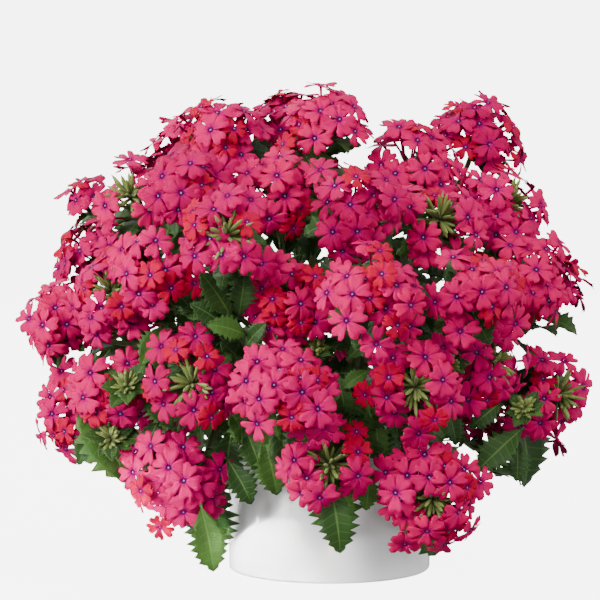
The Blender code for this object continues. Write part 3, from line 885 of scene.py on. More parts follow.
@dataclass
class Surfaces:
    """Grids of points gathered into one mesh, with a chart for patterns and two shades for each point."""

    points: list[Array] = field(default_factory=list)
    faces: list[NDArray[np.int64]] = field(default_factory=list)
    charts: list[Array] = field(default_factory=list)
    shades: list[Array] = field(default_factory=list)
    count: int = 0

    def add(self, grids: Array, chart: Array, shade: Array, under: Array | float = 0.0) -> None:
        """Adds closed bodies whose grids wrap round along their columns.

        Each row of a grid is a ring. The rings are joined by quads, and the first and the last ring are
        closed by quads across them, from the first half of the ring to the second half. Where the volume
        comes out negative, the faces are turned round, so that they point outwards.

        Args:
            grids: points as (bodies, rows, columns, 3), with an even number of columns.
            chart: the pattern's two coordinates, as (rows, columns, 2) or one such grid for each body.
            shade: how old or how light each body is, from 0 to 1.
            under: 1 where a point is on an underside, as (rows, columns) or one number.
        """
        bodies, rows, columns, _ = grids.shape
        index = np.arange(bodies * rows * columns).reshape(bodies, rows, columns)
        after = np.roll(index, -1, axis=2)
        sides = np.stack((index[:, :-1], after[:, :-1], after[:, 1:], index[:, 1:]), axis=-1).reshape(-1, 4)
        half = columns // 2
        near, far = index[..., : half - 1], index[..., 1:half]
        back, back_far = index[..., :half:-1], index[..., -2 : half - 1 : -1]
        lids = np.stack((near, back, back_far, far), axis=-1)
        first, last = lids[:, 0].reshape(-1, 4), lids[:, -1, :, ::-1].reshape(-1, 4)
        faces = np.concatenate((sides, first, last))
        flat = grids.reshape(-1, 3)
        if self.volume(flat, faces) < 0:
            faces = faces[:, ::-1]
        self.points.append(flat)
        self.faces.append(faces + self.count)
        self.charts.append(np.broadcast_to(chart, (bodies, rows, columns, 2)).reshape(-1, 2))
        shade = np.asarray(shade, float).reshape(-1, 1, 1)
        pair = np.stack(np.broadcast_arrays(shade, np.broadcast_to(under, (bodies, rows, columns))), axis=-1)
        self.shades.append(pair.reshape(-1, 2))
        self.count += len(flat)

    @staticmethod
    def volume(points: Array, faces: NDArray[np.int64]) -> float:
        """Works out the volume inside the faces: each quad is two triangles, each a wedge from the middle.

        Args:
            points: the points, one a row.
            faces: the numbers of each quad's corners.

        Returns:
            Six times the volume.
        """
        middle = points.mean(axis=0)
        a, b, c, d = (points[faces[:, corner]] - middle for corner in range(4))
        return float((a * np.cross(b, c)).sum() + (a * np.cross(c, d)).sum())

    def build(self, name: str, material: bpy.types.Material) -> bpy.types.Object:
        """Makes the mesh and its object, smooth, with the chart as a UV map and the shades as attributes.

        Args:
            name: the piece's name.
            material: its finish.

        Returns:
            The object, at the origin.
        """
        points, faces = np.concatenate(self.points), np.concatenate(self.faces)
        charts, shades = np.concatenate(self.charts), np.concatenate(self.shades)
        mesh = bpy.data.meshes.new(name)
        mesh.vertices.add(len(points))
        mesh.vertices.foreach_set("co", points.astype(np.float32).ravel())
        mesh.loops.add(faces.size)
        mesh.loops.foreach_set("vertex_index", faces.astype(np.int32).ravel())
        mesh.polygons.add(len(faces))
        mesh.polygons.foreach_set("loop_start", np.arange(0, faces.size, 4, dtype=np.int32))
        mesh.update(calc_edges=True)
        chart = mesh.uv_layers.new(name="Chart")
        chart.data.foreach_set("uv", charts[faces.ravel()].astype(np.float32).ravel())
        for column, label in enumerate(("Shade", "Under")):
            layer = mesh.attributes.new(label, "FLOAT", "POINT")
            layer.data.foreach_set("value", shades[:, column].astype(np.float32))
        mesh.shade_smooth()
        mesh.materials.append(material)
        mesh.validate()
        piece = bpy.data.objects.new(name, mesh)
        bpy.context.scene.collection.objects.link(piece)
        return piece


def placed(local: Array, origin: Array, first: Array, second: Array, third: Array) -> Array:
    """Sets shapes in the world: origin plus each local coordinate times its own direction.

    Args:
        local: points as (shapes, rows, columns, 3).
        origin: one origin a shape.
        first: one direction a shape for the local X.
        second: the same for Y.
        third: the same for Z.

    Returns:
        The points in the world.
    """
    spread = (slice(None), None, None, slice(None))
    return (
        origin[spread]
        + local[..., 0:1] * first[spread]
        + local[..., 1:2] * second[spread]
        + local[..., 2:3] * third[spread]
    )


def carried_tube(path: Array, radii: Array, section: Array) -> Array:
    """Carries a closed section along a path, turning it no more than the path turns.

    Each ring is the path's point plus the section's X and Y along two directions square to the path. The
    first direction is the ring before's, made square again.

    Args:
        path: the points, one a row.
        radii: the section's size at each point.
        section: the section's points at size one, as (columns, 2).

    Returns:
        The rings as (1, rows, columns, 3).
    """
    ahead = unit(np.gradient(path, axis=0))
    first, _ = axes_about(ahead[0])
    rings = []
    for point, direction, radius in zip(path, ahead, radii):
        first = unit(first - direction * (first @ direction))
        second = np.cross(direction, first)
        rings.append(point + radius * (section[:, :1] * first + section[:, 1:] * second))
    return np.array(rings)[None]


def round_section(count: int, squareness: float = 0.0) -> Array:
    """A closed section of size one: a circle drawn out towards its four corners.

    Args:
        count: how many points.
        squareness: 0 for a circle, up to about 0.2 for a square with round corners.

    Returns:
        The points as (count, 2).
    """
    angle = FULL_TURN * np.arange(count) / count
    radius = 1.0 + squareness * np.cos(4.0 * angle)
    return np.column_stack((radius * np.cos(angle), radius * np.sin(angle)))


def turned(radii: Array, levels: Array, columns: int = 6) -> Array:
    """Turns bodies about Z: each row is a circle of its own radius, at its own level.

    Args:
        radii: each row's radius.
        levels: each row's height, as (bodies, rows).
        columns: how many points a circle has.

    Returns:
        The bodies as (bodies, rows, columns, 3).
    """
    grids = np.zeros(levels.shape + (columns, 3))
    grids[..., :2] = radii[:, None, None] * round_section(columns)
    grids[..., 2] = levels[..., None]
    return grids


def charted(first: Any, second: Any) -> Array:
    """A chart of two coordinates, each given for the rows, for the columns or for both."""
    return np.stack(np.broadcast_arrays(first, second), axis=-1)


def two_sided(top: Array, bottom: Array) -> Array:
    """Closes a sheet: each row runs along the top and comes back along the bottom."""
    return np.concatenate((top, bottom[..., ::-1, :]), axis=-2)


def undersides(rows: int, columns: int) -> Array:
    """Tells the sides of a closed sheet apart: 0 on the top and 1 on the bottom."""
    return np.repeat([[0.0, 1.0]], columns, axis=1).repeat(rows, axis=0)


@dataclass
class Florets:
    """The open flowers of one head: a slender tube with a limb of five notched petals and a pale eye.

    A drop is the rise of its direction below which a floret hangs, and how many times more of those that
    hang have dropped: seen_drop on the heads that face the viewer, and hidden_drop on the others.
    """

    limb: float = 0.0112
    throat: float = 0.0008
    petal_width: float = 0.0087
    notch: float = 0.23
    shoulder: float = 0.14
    thickness: float = 0.00024
    sizes: tuple[float, float] = (0.90, 1.08)
    widths: tuple[float, float] = (0.86, 1.10)
    cups: tuple[float, float] = (-0.04, 0.22)
    bends: tuple[float, float] = (0.04, 0.36)
    ruffles: tuple[float, float] = (-0.16, 0.16)
    spacing: float = 0.0147
    outermost: float = float(np.radians(86.0))
    heart_tilt: float = float(np.radians(33.0))
    hexagon: float = 0.866
    ages: tuple[float, ...] = (0.10, 0.26, 0.34, 0.42)
    scarlet: float = 0.34
    scarlet_fall: float = 1.6
    furthest: float = 1.06
    sunken: float = 0.44
    missing: float = 0.15
    toward_viewer: float = -0.3
    seen_drop: tuple[float, float] = (-0.55, 1.5)
    hidden_drop: tuple[float, float] = (0.05, 9.0)
    lift: float = 0.74
    low_lift: float = 1.5
    scatter: float = 0.40
    root_depths: tuple[float, float] = (0.05, 0.40)
    young_shrink: float = 0.24

    def spots(self, head: Head, rng: np.random.Generator) -> tuple[Array, Array, Array]:
        """Spreads the florets evenly over the head's dome, by the golden angle.

        Each tilt from the head's axis gives its floret an equal share of the dome, so their number is the
        dome's area divided by a floret's share. A green heart leaves the innermost ones out, a few have
        dropped, most of them from below, and the young scarlet ones are near the middle.

        Args:
            head: the head.
            rng: the source of small irregularities.

        Returns:
            The florets' directions from the head's middle, their distances from it, and how young each is.
        """
        reach = np.sqrt(head.radius**2 - self.limb**2)
        cap = 1.0 - np.cos(self.outermost)
        count = int(round(FULL_TURN * cap * reach**2 / (self.hexagon * self.spacing**2)))
        share = (np.arange(count) + 0.5) / count
        tilt = np.arccos(1.0 - cap * share) + rng.uniform(-0.09, 0.09, count)
        turn = GOLDEN_ANGLE * np.arange(count) + rng.uniform(-0.16, 0.16, count) + rng.uniform(*ANY_TURN)
        youth = np.clip(rng.choice(self.ages) + rng.normal(0.0, 0.07, count), 0.0, 0.6)
        scarlet = rng.uniform(0, 1, count) < self.scarlet * np.exp(-self.scarlet_fall * share)
        youth = np.where(scarlet, rng.uniform(0.82, 1.0, count), youth)
        distance = reach * (self.furthest - self.sunken * rng.uniform(0, 1, count) ** 1.2)
        directions = spread_about(head.show, tilt, turn)
        kept = tilt > (self.heart_tilt * rng.uniform(0.85, 1.25, count) if head.green_heart else -1.0)
        lowest, more = self.seen_drop if head.show[1] < self.toward_viewer else self.hidden_drop
        kept &= rng.uniform(0, 1, count) > self.missing * (1.0 + more * (directions[:, 2] < lowest))
        return directions[kept], distance[kept], youth[kept]

    def petals(self, count: int, rng: np.random.Generator) -> tuple[Array, Array, Array]:
        """Works out five petals for each floret, in the floret's own axes, with Z along its tube.

        A petal is a grid of u, from the throat to the tip, by v, from edge to edge. Its distance from the eye
        grows with u, less at the middle for the notch and less at the edges for the round shoulders. Its half
        width opens quickly and narrows a little at the tip. It rises out of the throat, flattens, and bends
        back, with a crease along the middle. The underside is the same grid a petal's thickness lower.

        Args:
            count: how many florets.
            rng: the source of small irregularities.

        Returns:
            The petals as (count * 5, rows, columns, 3), their chart, and which points are on the underside.
        """
        u = np.array([0.0, 0.34, 0.70, 1.0])[:, None]
        v = np.linspace(-1.0, 1.0, 5)[None]
        many = count * PETALS
        size, wide, cup, bend, ruffle = (
            rng.uniform(low, high, (many, 1, 1))
            for low, high in (self.sizes, self.widths, self.cups, self.bends, self.ruffles)
        )
        cut = self.notch * np.exp(-((v / 0.32) ** 2)) + self.shoulder * np.abs(v) ** 3
        far = self.throat + (self.limb - self.throat) * size * u * (1.0 - cut * u**2)
        opening = np.array([0.20, 0.64, 1.0, 0.92])[:, None]
        across = 0.5 * self.petal_width * wide * opening * v
        crease = 0.045 * (np.abs(v) - 0.5) * np.sqrt(u)
        rise = self.limb * (cup * u - bend * u**2.4 + crease + ruffle * v * u)
        angle = FULL_TURN * np.tile(np.arange(PETALS), count) / PETALS
        angle += np.repeat(rng.uniform(0, FULL_TURN, count), PETALS)
        angle = (angle + rng.normal(0.0, 0.06, many))[:, None, None]
        x = far * np.cos(angle) - across * np.sin(angle)
        y = far * np.sin(angle) + across * np.cos(angle)
        top = np.stack((x, y, rise), axis=-1)
        chart = charted(u, 0.5 + 0.5 * v)
        return two_sided(top, top - self.thickness * UP), two_sided(chart, chart), undersides(len(u), v.size)

    def tubes(self, lengths: Array) -> tuple[Array, Array, Array]:
        """Works out the tube and the eye of each floret as one turned body, with Z along it.

        Its profile runs up the slender tube, out under the petals, over the dark ring of the eye and down
        into the pale throat.

        Args:
            lengths: each tube's length.

        Returns:
            The bodies, their chart, and which points are on the outside of the tube.
        """
        radius = np.array([0.0006, 0.0007, 0.00095, 0.00098, 0.00028, 0.00010])
        height = np.array([-1.0, -0.25, 0.0, 0.0, 0.0, 0.0])
        step = np.array([0.0, 0.0, -0.00035, 0.00032, 0.00024, -0.0005])
        grids = turned(radius, height * lengths[:, None] + step)
        chart = charted(np.array([1.9, 1.6, 1.3, -0.02, -0.10, -0.2])[:, None], np.full(6, 0.5))
        return grids, chart, np.repeat([[1.0], [1.0], [1.0], [0.0], [0.0], [0.0]], 6, axis=1)

    def build(self, head: Head, rng: np.random.Generator, shapes: Surfaces) -> tuple[Array, Array]:
        """Adds all of a head's florets to the mesh.

        Args:
            head: the head.
            rng: the source of small irregularities.
            shapes: what they are added to.

        Returns:
            The florets' directions and where each tube starts, for the calyces.
        """
        directions, distances, youth = self.spots(head, rng)
        count = len(directions)
        root = head.middle - head.facing * head.radius * rng.uniform(*self.root_depths, (count, 1))
        centre = head.middle + directions * distances[:, None]
        lift = self.lift * (self.low_lift if head.middle[2] < Sizes.low_head else 1.0)
        facing = unit(directions + lift * head.show + self.scatter * unit(rng.normal(size=(count, 3))))
        first, second = axes_about(facing)
        shrink = self.young_shrink * np.clip(youth - 0.45, 0.0, 1.0) / 0.55
        scale = (1.0 - shrink) * rng.uniform(0.95, 1.05, count)
        local, chart, under = self.petals(count, rng)
        spread = [np.repeat(value, PETALS, axis=0) for value in (centre, first, second, facing, youth)]
        petals = placed(local * np.repeat(scale, PETALS)[:, None, None, None], *spread[:4])
        shapes.add(petals, chart, spread[4], under)
        lengths = np.linalg.norm(centre - root, axis=1)
        along = unit(centre - root)
        tubes, chart, outside = self.tubes(lengths)
        shapes.add(placed(tubes, centre, *axes_about(along), along), chart, youth, outside)
        return along, root


@dataclass
class Calyces:
    """The ribbed green calyces under the florets, and the radiating buds of a green heart.

    The rows are the shares of a spindle's length at which its rings lie.
    """

    rows: tuple[float, ...] = (0.0, 0.22, 0.55, 0.82, 1.0)
    length: float = 0.0125
    radius: float = 0.0017
    bud_length: float = 0.0150
    bud_radius: float = 0.00110
    bud_spread: float = float(np.radians(78.0))
    bud_scatter: float = 0.16
    buds: int = 32
    heart_height: float = 0.22
    heart_rise: float = 0.0035
    heart_gap: float = 0.0012

    def spindles(self, roots: Array, along: Array, lengths: Array, radius: float, swell: float) -> Array:
        """Works out slim pointed bodies: turned profiles that swell once and close to a point.

        Args:
            roots: where each starts.
            along: each one's direction.
            lengths: each one's length.
            radius: the greatest radius.
            swell: where along it the greatest radius lies, from 0 to 1.

        Returns:
            The bodies as (count, rows, columns, 3).
        """
        bulge = np.array([0.45, 0.80 + 0.2 * (1 - swell), 1.0, 0.55 + 0.4 * swell, 0.06])
        grids = turned(radius * bulge, np.array(self.rows) * lengths[:, None])
        return placed(grids, roots, *axes_about(along), along)

    def chart(self) -> Array:
        """The chart of a spindle: its share of the length, and the share of the way round."""
        return charted(np.array(self.rows)[:, None], np.arange(6) / 6.0)

    def under_florets(self, along: Array, roots: Array, rng: np.random.Generator, shapes: Surfaces) -> None:
        """Adds the calyx that holds each floret's tube.

        Args:
            along: each floret's direction.
            roots: where each tube starts.
            rng: the source of small irregularities.
            shapes: what they are added to.
        """
        lengths = self.length * rng.uniform(0.9, 1.1, len(along))
        spindles = self.spindles(roots, along, lengths, self.radius, 0.2)
        shapes.add(spindles, self.chart(), rng.uniform(0.35, 0.7, len(along)))

    def heart(self, head: Head, rng: np.random.Generator, shapes: Surfaces) -> None:
        """Adds a green heart: buds that radiate from the rachis, spread evenly by the golden angle.

        Args:
            head: the head.
            rng: the source of small irregularities.
            shapes: what they are added to.
        """
        number = np.arange(self.buds)
        tilt = self.bud_spread * np.sqrt((number + 0.4) / self.buds)
        along = unit(spread_about(head.show, tilt, GOLDEN_ANGLE * number + rng.uniform(*ANY_TURN)))
        along = unit(along + self.bud_scatter * rng.normal(size=along.shape))
        base = head.middle + head.show * head.radius * self.heart_height
        dome = (self.heart_rise * (1.0 - tilt / tilt.max()))[:, None]
        roots = base + along * self.heart_gap + head.show * dome
        lengths = self.bud_length * rng.uniform(0.70, 1.15, self.buds) * min(1.0, head.radius / 0.027)
        shade = rng.uniform(0.72, 1.0, self.buds)
        shapes.add(self.spindles(roots, along, lengths, self.bud_radius, 0.85), self.chart(), shade)


@dataclass
class Stems:
    """The square green stems, shoots and the stalk inside each head."""

    sizes: Sizes = field(default_factory=Sizes)
    squareness: float = 0.10
    taper: float = 0.72
    stem_rings: int = 8
    shoot_rings: int = 22
    stem_shade: float = 0.25
    shoot_shade: float = 0.45
    into_head: float = 0.05
    into_heart: float = 0.30

    def build(self, plan: Plan, stem: int, heads: list[Head], shapes: Surfaces) -> None:
        """Adds a leafy stem's main stem and a shoot to each of its heads.

        Args:
            plan: the plant's plan.
            stem: the stem's number.
            heads: the heads that it carries.
            shapes: what they are added to.
        """
        section = round_section(8, self.squareness)
        path, thick = plan.stem_path(stem), self.sizes.shoot_radius
        radii = np.full(self.stem_rings, self.sizes.stem_radius)
        self.tube(smooth_path(path, self.stem_rings), radii, section, shapes, self.stem_shade)
        for head in heads:
            share = self.into_heart if head.green_heart else self.into_head
            inside = head.middle + head.facing * head.radius * share
            line = np.vstack([path[-2:-1] * 0.35 + head.shoot[:1] * 0.65, head.shoot, inside[None]])
            radii = np.linspace(thick, thick * self.taper, self.shoot_rings)
            self.tube(smooth_path(line, self.shoot_rings), radii, section, shapes, self.shoot_shade)

    @staticmethod
    def tube(path: Array, radii: Array, section: Array, shapes: Surfaces, shade: float) -> None:
        """Adds one tube, whose chart gives the distance along it in centimetres.

        Args:
            path: the points along its middle.
            radii: its radius at each of them.
            section: its section at size one.
            shapes: what it is added to.
            shade: which colour of the stalk's ramp it takes.
        """
        grid = carried_tube(path, radii, section)
        steps = np.linalg.norm(np.diff(path, axis=0, prepend=path[:1]), axis=1)
        chart = charted((np.cumsum(steps) * 100.0)[:, None], np.arange(len(section)) / len(section))
        shapes.add(grid, chart, np.array([shade]))


@dataclass
class Blades:
    """The toothed leaves, quilted between their sunken veins, each on a short stalk.

    At the edge, tooth and notch are shares of the blade's half width, and inner is the share inside it.
    """

    thickness: float = 0.0006
    width: float = 0.31
    fold: float = 0.26
    lean: float = 0.20
    stalk: float = 0.0011
    quilt: float = 0.00035
    tooth: float = 1.15
    notch: float = 0.74
    inner: float = 0.95
    ragged: float = 0.09
    arch: float = 0.10
    wave: float = 0.02
    widths: tuple[float, float] = (0.92, 1.05)
    curls: tuple[float, float] = (0.02, 0.10)
    stalk_share: float = 0.08

    def build(
        self, leaves: list[Leaf], rng: np.random.Generator, shapes: Surfaces, teeth: int, cells: int
    ) -> None:
        """Adds leaves to the mesh.

        A blade is a grid of s, from root to tip, by q, from edge to edge. Every second row runs out along a
        side vein to a tooth's tip, and the rows between run to the notch between two teeth. Rows lean forward
        as the veins do. Across a row the blade rises from the midrib, dips along the vein rows and bulges
        between them.

        Args:
            leaves: the leaves.
            rng: the source of small irregularities.
            shapes: what they are added to.
            teeth: how many teeth each side has.
            cells: how many columns there are from the midrib to the edge.
        """
        rows = 2 * teeth + 2
        blade_share = 1.0 - self.stalk_share
        s = self.stalk_share + blade_share * np.linspace(0.0, 1.0, rows - 1) ** 0.92
        s = np.concatenate(([0.0], s))[:, None]
        q = np.linspace(-1.0, 1.0, 2 * cells + 1)[None]
        row = np.arange(rows)[:, None]
        blade, vein = row > 1, (row > 1) & (row % 2 == 0)
        outer = np.abs(q) == 1.0
        along = s + self.lean * np.abs(q) * (1.0 - s) * blade
        edge = np.where(outer, np.where(vein, self.tooth, self.notch), self.inner)
        body = fullness(np.clip((s - self.stalk_share) / blade_share, 0.0, 1.0))
        quilt = np.where(vein, -1.0, 1.0) * self.quilt * np.sin(np.pi * np.abs(q))
        chart = charted(row / 2.0, 0.5 + 0.5 * q)
        chart, under = two_sided(chart, chart), undersides(rows, q.size)
        for leaf in leaves:
            length, side, up = leaf.frame()
            half = self.width * body * length * rng.uniform(*self.widths)
            half = np.maximum(half, self.stalk * (1.03 - s))
            ragged = rng.uniform(1.0 - self.ragged, 1.0 + self.ragged, edge.shape)
            x = half * q * edge * np.where(outer, ragged, 1.0)
            wave = self.wave * length * np.sin(9.0 * along + rng.uniform(*ANY_TURN)) * q * np.abs(q)
            rise = np.abs(x) * self.fold + (quilt + wave) * blade
            arch = length * self.arch * 4.0 * along * (1.0 - along)
            curl = -length * rng.uniform(*self.curls) * along**4
            points = (
                leaf.root
                + (leaf.tip - leaf.root) * along[..., None]
                + side * x[..., None]
                + up * (rise + arch + curl)[..., None]
            )
            grid = two_sided(points, points - up * self.thickness)[None]
            shapes.add(grid, chart, rng.uniform(0.1, 0.9, 1), under)


@dataclass
class Pot:
    """The plain straight pot, turned from one profile: flat base, softened foot, straight wall, round rim."""

    sizes: Sizes = field(default_factory=Sizes)
    foot: float = 0.0020
    rim: float = 0.00155
    hub: float = 0.0004
    columns: int = 128

    def profile(self) -> Array:
        """Draws the profile, with the foot and the rim as arcs.

        Returns:
            Its points as (radius, height), from the middle of the base to the middle of the floor.
        """
        s = self.sizes
        inside = s.pot_radius - s.pot_wall
        quarter = np.linspace(-0.5 * np.pi, 0.0, 5)
        foot = np.column_stack((np.cos(quarter), 1.0 + np.sin(quarter))) * self.foot
        foot += (s.pot_radius - self.foot, 0.0)
        half = np.linspace(0.0, np.pi, 11)
        rim = np.column_stack((0.5 * s.pot_wall * np.cos(half), self.rim * np.sin(half)))
        rim += (s.pot_radius - 0.5 * s.pot_wall, s.pot_height - self.rim)
        base = [(self.hub, 0.0), (0.5 * s.pot_radius, 0.0)]
        wall = [(s.pot_radius, 0.35 * s.pot_height), (s.pot_radius, 0.7 * s.pot_height)]
        inner_wall = [(inside, 0.5 * s.pot_height), (inside, s.pot_floor + 0.001)]
        floor = [(inside - 0.001, s.pot_floor), (self.hub, s.pot_floor)]
        return np.vstack([base, foot, wall, rim, inner_wall, floor])

    def build(self, material: bpy.types.Material) -> bpy.types.Object:
        """Turns the profile about the pot's axis: each row is one profile point carried round a circle.

        Args:
            material: its finish.

        Returns:
            The pot.
        """
        profile = self.profile()
        chart = charted(np.arange(self.columns) / self.columns, profile[:, 1:] / self.sizes.pot_height)
        shapes = Surfaces()
        shapes.add(turned(profile[:, 0], profile[None, :, 1], self.columns), chart, np.array([0.5]))
        return shapes.build("pot_glazed", material)


@dataclass
class Crumbs:
    """Loose crumbs of potting mix on the soil: small lumpy balls, a little sunk into it."""

    sizes: Sizes = field(default_factory=Sizes)
    count: int = 420
    smallest: float = 0.0007
    largest: float = 0.0021
    margin: float = 0.010
    squash: float = 0.7
    seed: int = 21

    def build(self, material: bpy.types.Material) -> bpy.types.Object:
        """Scatters the crumbs evenly over the soil's top, as squashed balls with uneven rings.

        Args:
            material: their finish.

        Returns:
            The crumbs as one piece.
        """
        s = self.sizes
        rng = np.random.default_rng(self.seed)
        reach = (s.pot_radius - s.pot_wall - self.margin) * np.sqrt(rng.uniform(0, 1, self.count))
        turn = rng.uniform(0, FULL_TURN, self.count)
        radius = rng.uniform(self.smallest, self.largest, self.count)
        centre = np.column_stack((reach * np.cos(turn), reach * np.sin(turn), s.soil_top + 0.25 * radius))
        tilt = np.linspace(0.06, np.pi - 0.06, 5)
        ball = turned(np.sin(tilt), -self.squash * np.cos(tilt)[None])
        local = ball * radius[:, None, None, None] * rng.uniform(0.75, 1.2, (self.count, 5, 6, 1))
        axes = [np.tile(axis, (self.count, 1)) for axis in np.eye(3)]
        shapes = Surfaces()
        shapes.add(placed(local, centre, *axes), np.zeros((5, 6, 2)), rng.uniform(0, 1, self.count))
        return shapes.build("soil_crumbs", material)


def srgb(code: str) -> tuple[float, float, float, float]:
    """Turns an sRGB hex colour into linear red, green, blue and alpha.

    Args:
        code: six hex digits after a #.

    Returns:
        The linear colour.
    """
    channels = [int(code[place : place + 2], 16) / 255 for place in (1, 3, 5)]
    red, green, blue = (c / 12.92 if c <= 0.04045 else ((c + 0.055) / 1.055) ** 2.4 for c in channels)
    return red, green, blue, 1.0


def add_node(tree: Any, kind: str, inputs: dict[Any, Any] | None = None, **settings: Any) -> Any:
    """Adds a shader node with its settings, its input values and the links into it.

    Args:
        tree: the node tree.
        kind: the node's type, without the words ShaderNode in front.
        inputs: for each input's name or number, a value or the socket that feeds it.
        settings: the node's own properties; stops gives a colour ramp's places and colours.

    Returns:
        The node.
    """
    node = tree.nodes.new("ShaderNode" + kind)
    stops = settings.pop("stops", None)
    for label, value in settings.items():
        setattr(node, label, value)
    if stops:
        ramp = node.color_ramp
        for _ in range(len(stops) - len(ramp.elements)):
            ramp.elements.new(0.5)
        for element, (place, code) in zip(ramp.elements, stops):
            element.position, element.color = place, srgb(code)
    for label, value in (inputs or {}).items():
        if isinstance(value, bpy.types.NodeSocket):
            tree.links.new(value, node.inputs[label])
        else:
            node.inputs[label].default_value = value
    return node


class Finish:
    """A finish under construction: its node tree and its shader, with short ways to the pattern's inputs."""

    def __init__(self, name: str, roughness: float, **sockets: float) -> None:
        """Makes the material and sets the shader's even values on its own sockets.

        Args:
            name: what the material is called.
            roughness: the shader's roughness.
            sockets: other even values, with _ for each space in the socket's name.
        """
        self.material = bpy.data.materials.new(name)
        self.material.use_nodes = True
        self.tree = self.material.node_tree
        self.shader = self.tree.nodes["Principled BSDF"]
        self.shader.inputs["Roughness"].default_value = roughness
        for label, value in sockets.items():
            self.shader.inputs[label.replace("_", " ")].default_value = value

    def chart(self) -> Any:
        """The piece's chart."""
        return add_node(self.tree, "UVMap", uv_map="Chart").outputs["UV"]

    def coordinates(self) -> tuple[Any, Any]:
        """The two coordinates of the piece's chart."""
        parts = add_node(self.tree, "SeparateXYZ", {0: self.chart()})
        return parts.outputs["X"], parts.outputs["Y"]

    def attribute(self, name: str) -> Any:
        """One of the piece's own attributes."""
        return add_node(self.tree, "Attribute", attribute_name=name).outputs["Fac"]

    def aged(self, *stops: tuple[float, str]) -> Any:
        """The colour that the piece's shade picks from a ramp of places and colours."""
        return add_node(self.tree, "ValToRGB", {0: self.attribute("Shade")}, stops=stops).outputs[0]

    def place(self) -> Any:
        """The place on the piece, in metres."""
        return add_node(self.tree, "TexCoord").outputs["Object"]

    def band(self, value: Any, start: float, end: float) -> Any:
        """A smooth step: 0 where the value is at start, and 1 where it is at end."""
        inputs = {"Value": value, "From Min": start, "From Max": end}
        return add_node(self.tree, "MapRange", inputs, interpolation_type="SMOOTHSTEP").outputs["Result"]

    def maths(self, operation: str, first: Any, second: Any = 0.0) -> Any:
        """One arithmetic operation on two values."""
        return add_node(self.tree, "Math", {0: first, 1: second}, operation=operation).outputs[0]

    def times(self, first: Any, second: Any) -> Any:
        """One value times another."""
        return self.maths("MULTIPLY", first, second)

    def off_middle(self, across: Any) -> Any:
        """How far a place is from the chart's middle line."""
        return self.maths("ABSOLUTE", self.maths("SUBTRACT", across, 0.5))

    def vector(self, operation: str, first: Any, second: Any) -> Any:
        """One operation on two vectors."""
        return add_node(self.tree, "VectorMath", {0: first, 1: second}, operation=operation).outputs[0]

    def mixed(self, share: Any, under: Any, over: Any) -> Any:
        """Lays one colour over another, each a socket or a hex code.

        Args:
            share: how much of the upper colour shows, from 0 to 1.
            under: the lower colour.
            over: the upper colour.

        Returns:
            The mixed colour.
        """
        under, over = (srgb(colour) if isinstance(colour, str) else colour for colour in (under, over))
        inputs = {0: share, 6: under, 7: over}
        return add_node(self.tree, "Mix", inputs, data_type="RGBA").outputs[2]

    def noise(self, size: float, detail: float = 3.0) -> Any:
        """Cloudy noise from 0 to 1 whose patches are about this many metres across."""
        inputs = {"Vector": self.place(), "Scale": 1.0 / size, "Detail": detail}
        return add_node(self.tree, "TexNoise", inputs).outputs["Fac"]

    def veined(self, count: float) -> Any:
        """Streaky noise from 0 to 1, whose streaks run along the chart and are different on each petal.

        Args:
            count: about how many streaks lie across the chart.

        Returns:
            The noise.
        """
        drawn = self.vector("MULTIPLY", self.chart(), (1.4, count, 1.0))
        moved = self.vector("MULTIPLY", self.place(), (160.0, 160.0, 160.0))
        inputs = {"Vector": self.vector("ADD", drawn, moved), "Scale": 1.0, "Detail": 2.0}
        return add_node(self.tree, "TexNoise", inputs).outputs["Fac"]

    def bump(self, height: Any, distance: float, strength: float) -> None:
        """Roughens the shader's surface by a height pattern, this many metres high at most."""
        bump = add_node(self.tree, "Bump", {"Height": height, "Distance": distance, "Strength": strength})
        self.tree.links.new(bump.outputs["Normal"], self.shader.inputs["Normal"])

    def colour(self, colour: Any) -> bpy.types.Material:
        """Ends the finish: links its colour and gives the material."""
        self.tree.links.new(colour, self.shader.inputs["Base Color"])
        return self.material


@dataclass(frozen=True)
class PetalFinish:
    """Living petal: thin, velvety and a little moist, so matt with a soft sheen and glowing colour.

    Young petals are scarlet and older ones turn rose pink. Violet runs out from the eye along each petal's
    middle, the eye's ring is nearly black and its throat is pale.
    """

    older: str = "#9E0044"
    open_pink: str = "#CA005F"
    fresh: str = "#CE0052"
    young: str = "#B4002A"
    violet: str = "#5E005A"
    purple: str = "#9A0062"
    blush: str = "#8A0038"
    ring: str = "#2E0638"
    pale: str = "#9678A6"
    underside: str = "#A40050"
    glint: str = "#FF0080"
    veins: float = 9.0
    tinge_share: float = 0.40
    streak_share: float = 0.80
    blush_share: float = 0.42
    under_share: float = 0.8

    def make(self) -> bpy.types.Material:
        """Builds the petal material from the chart, the age and the side.

        Returns:
            The material.
        """
        finish = Finish("petal_velvet", 0.62, Specular_IOR_Level=0.12)
        finish.shader.inputs["Specular Tint"].default_value = srgb(self.glint)
        out, across = finish.coordinates()
        base = finish.aged((0.0, self.older), (0.25, self.open_pink), (0.60, self.fresh), (0.85, self.young))
        middle = finish.off_middle(across)
        base = finish.mixed(finish.times(finish.band(out, 0.50, 0.10), self.tinge_share), base, self.purple)
        streak = finish.times(finish.band(middle, 0.16, 0.02), finish.band(out, 0.42, 0.12))
        throat = finish.band(out, 0.15, 0.03)
        violet = finish.maths("MAXIMUM", finish.times(streak, self.streak_share), throat)
        base = finish.mixed(violet, base, self.violet)
        base = finish.mixed(finish.times(finish.veined(self.veins), self.blush_share), base, self.blush)
        base = finish.mixed(finish.times(finish.attribute("Under"), self.under_share), base, self.underside)
        ring = finish.times(finish.band(out, 0.08, 0.01), finish.band(out, -0.13, -0.09))
        base = finish.mixed(ring, base, self.ring)
        return finish.colour(finish.mixed(finish.band(out, -0.05, -0.08), base, self.pale))


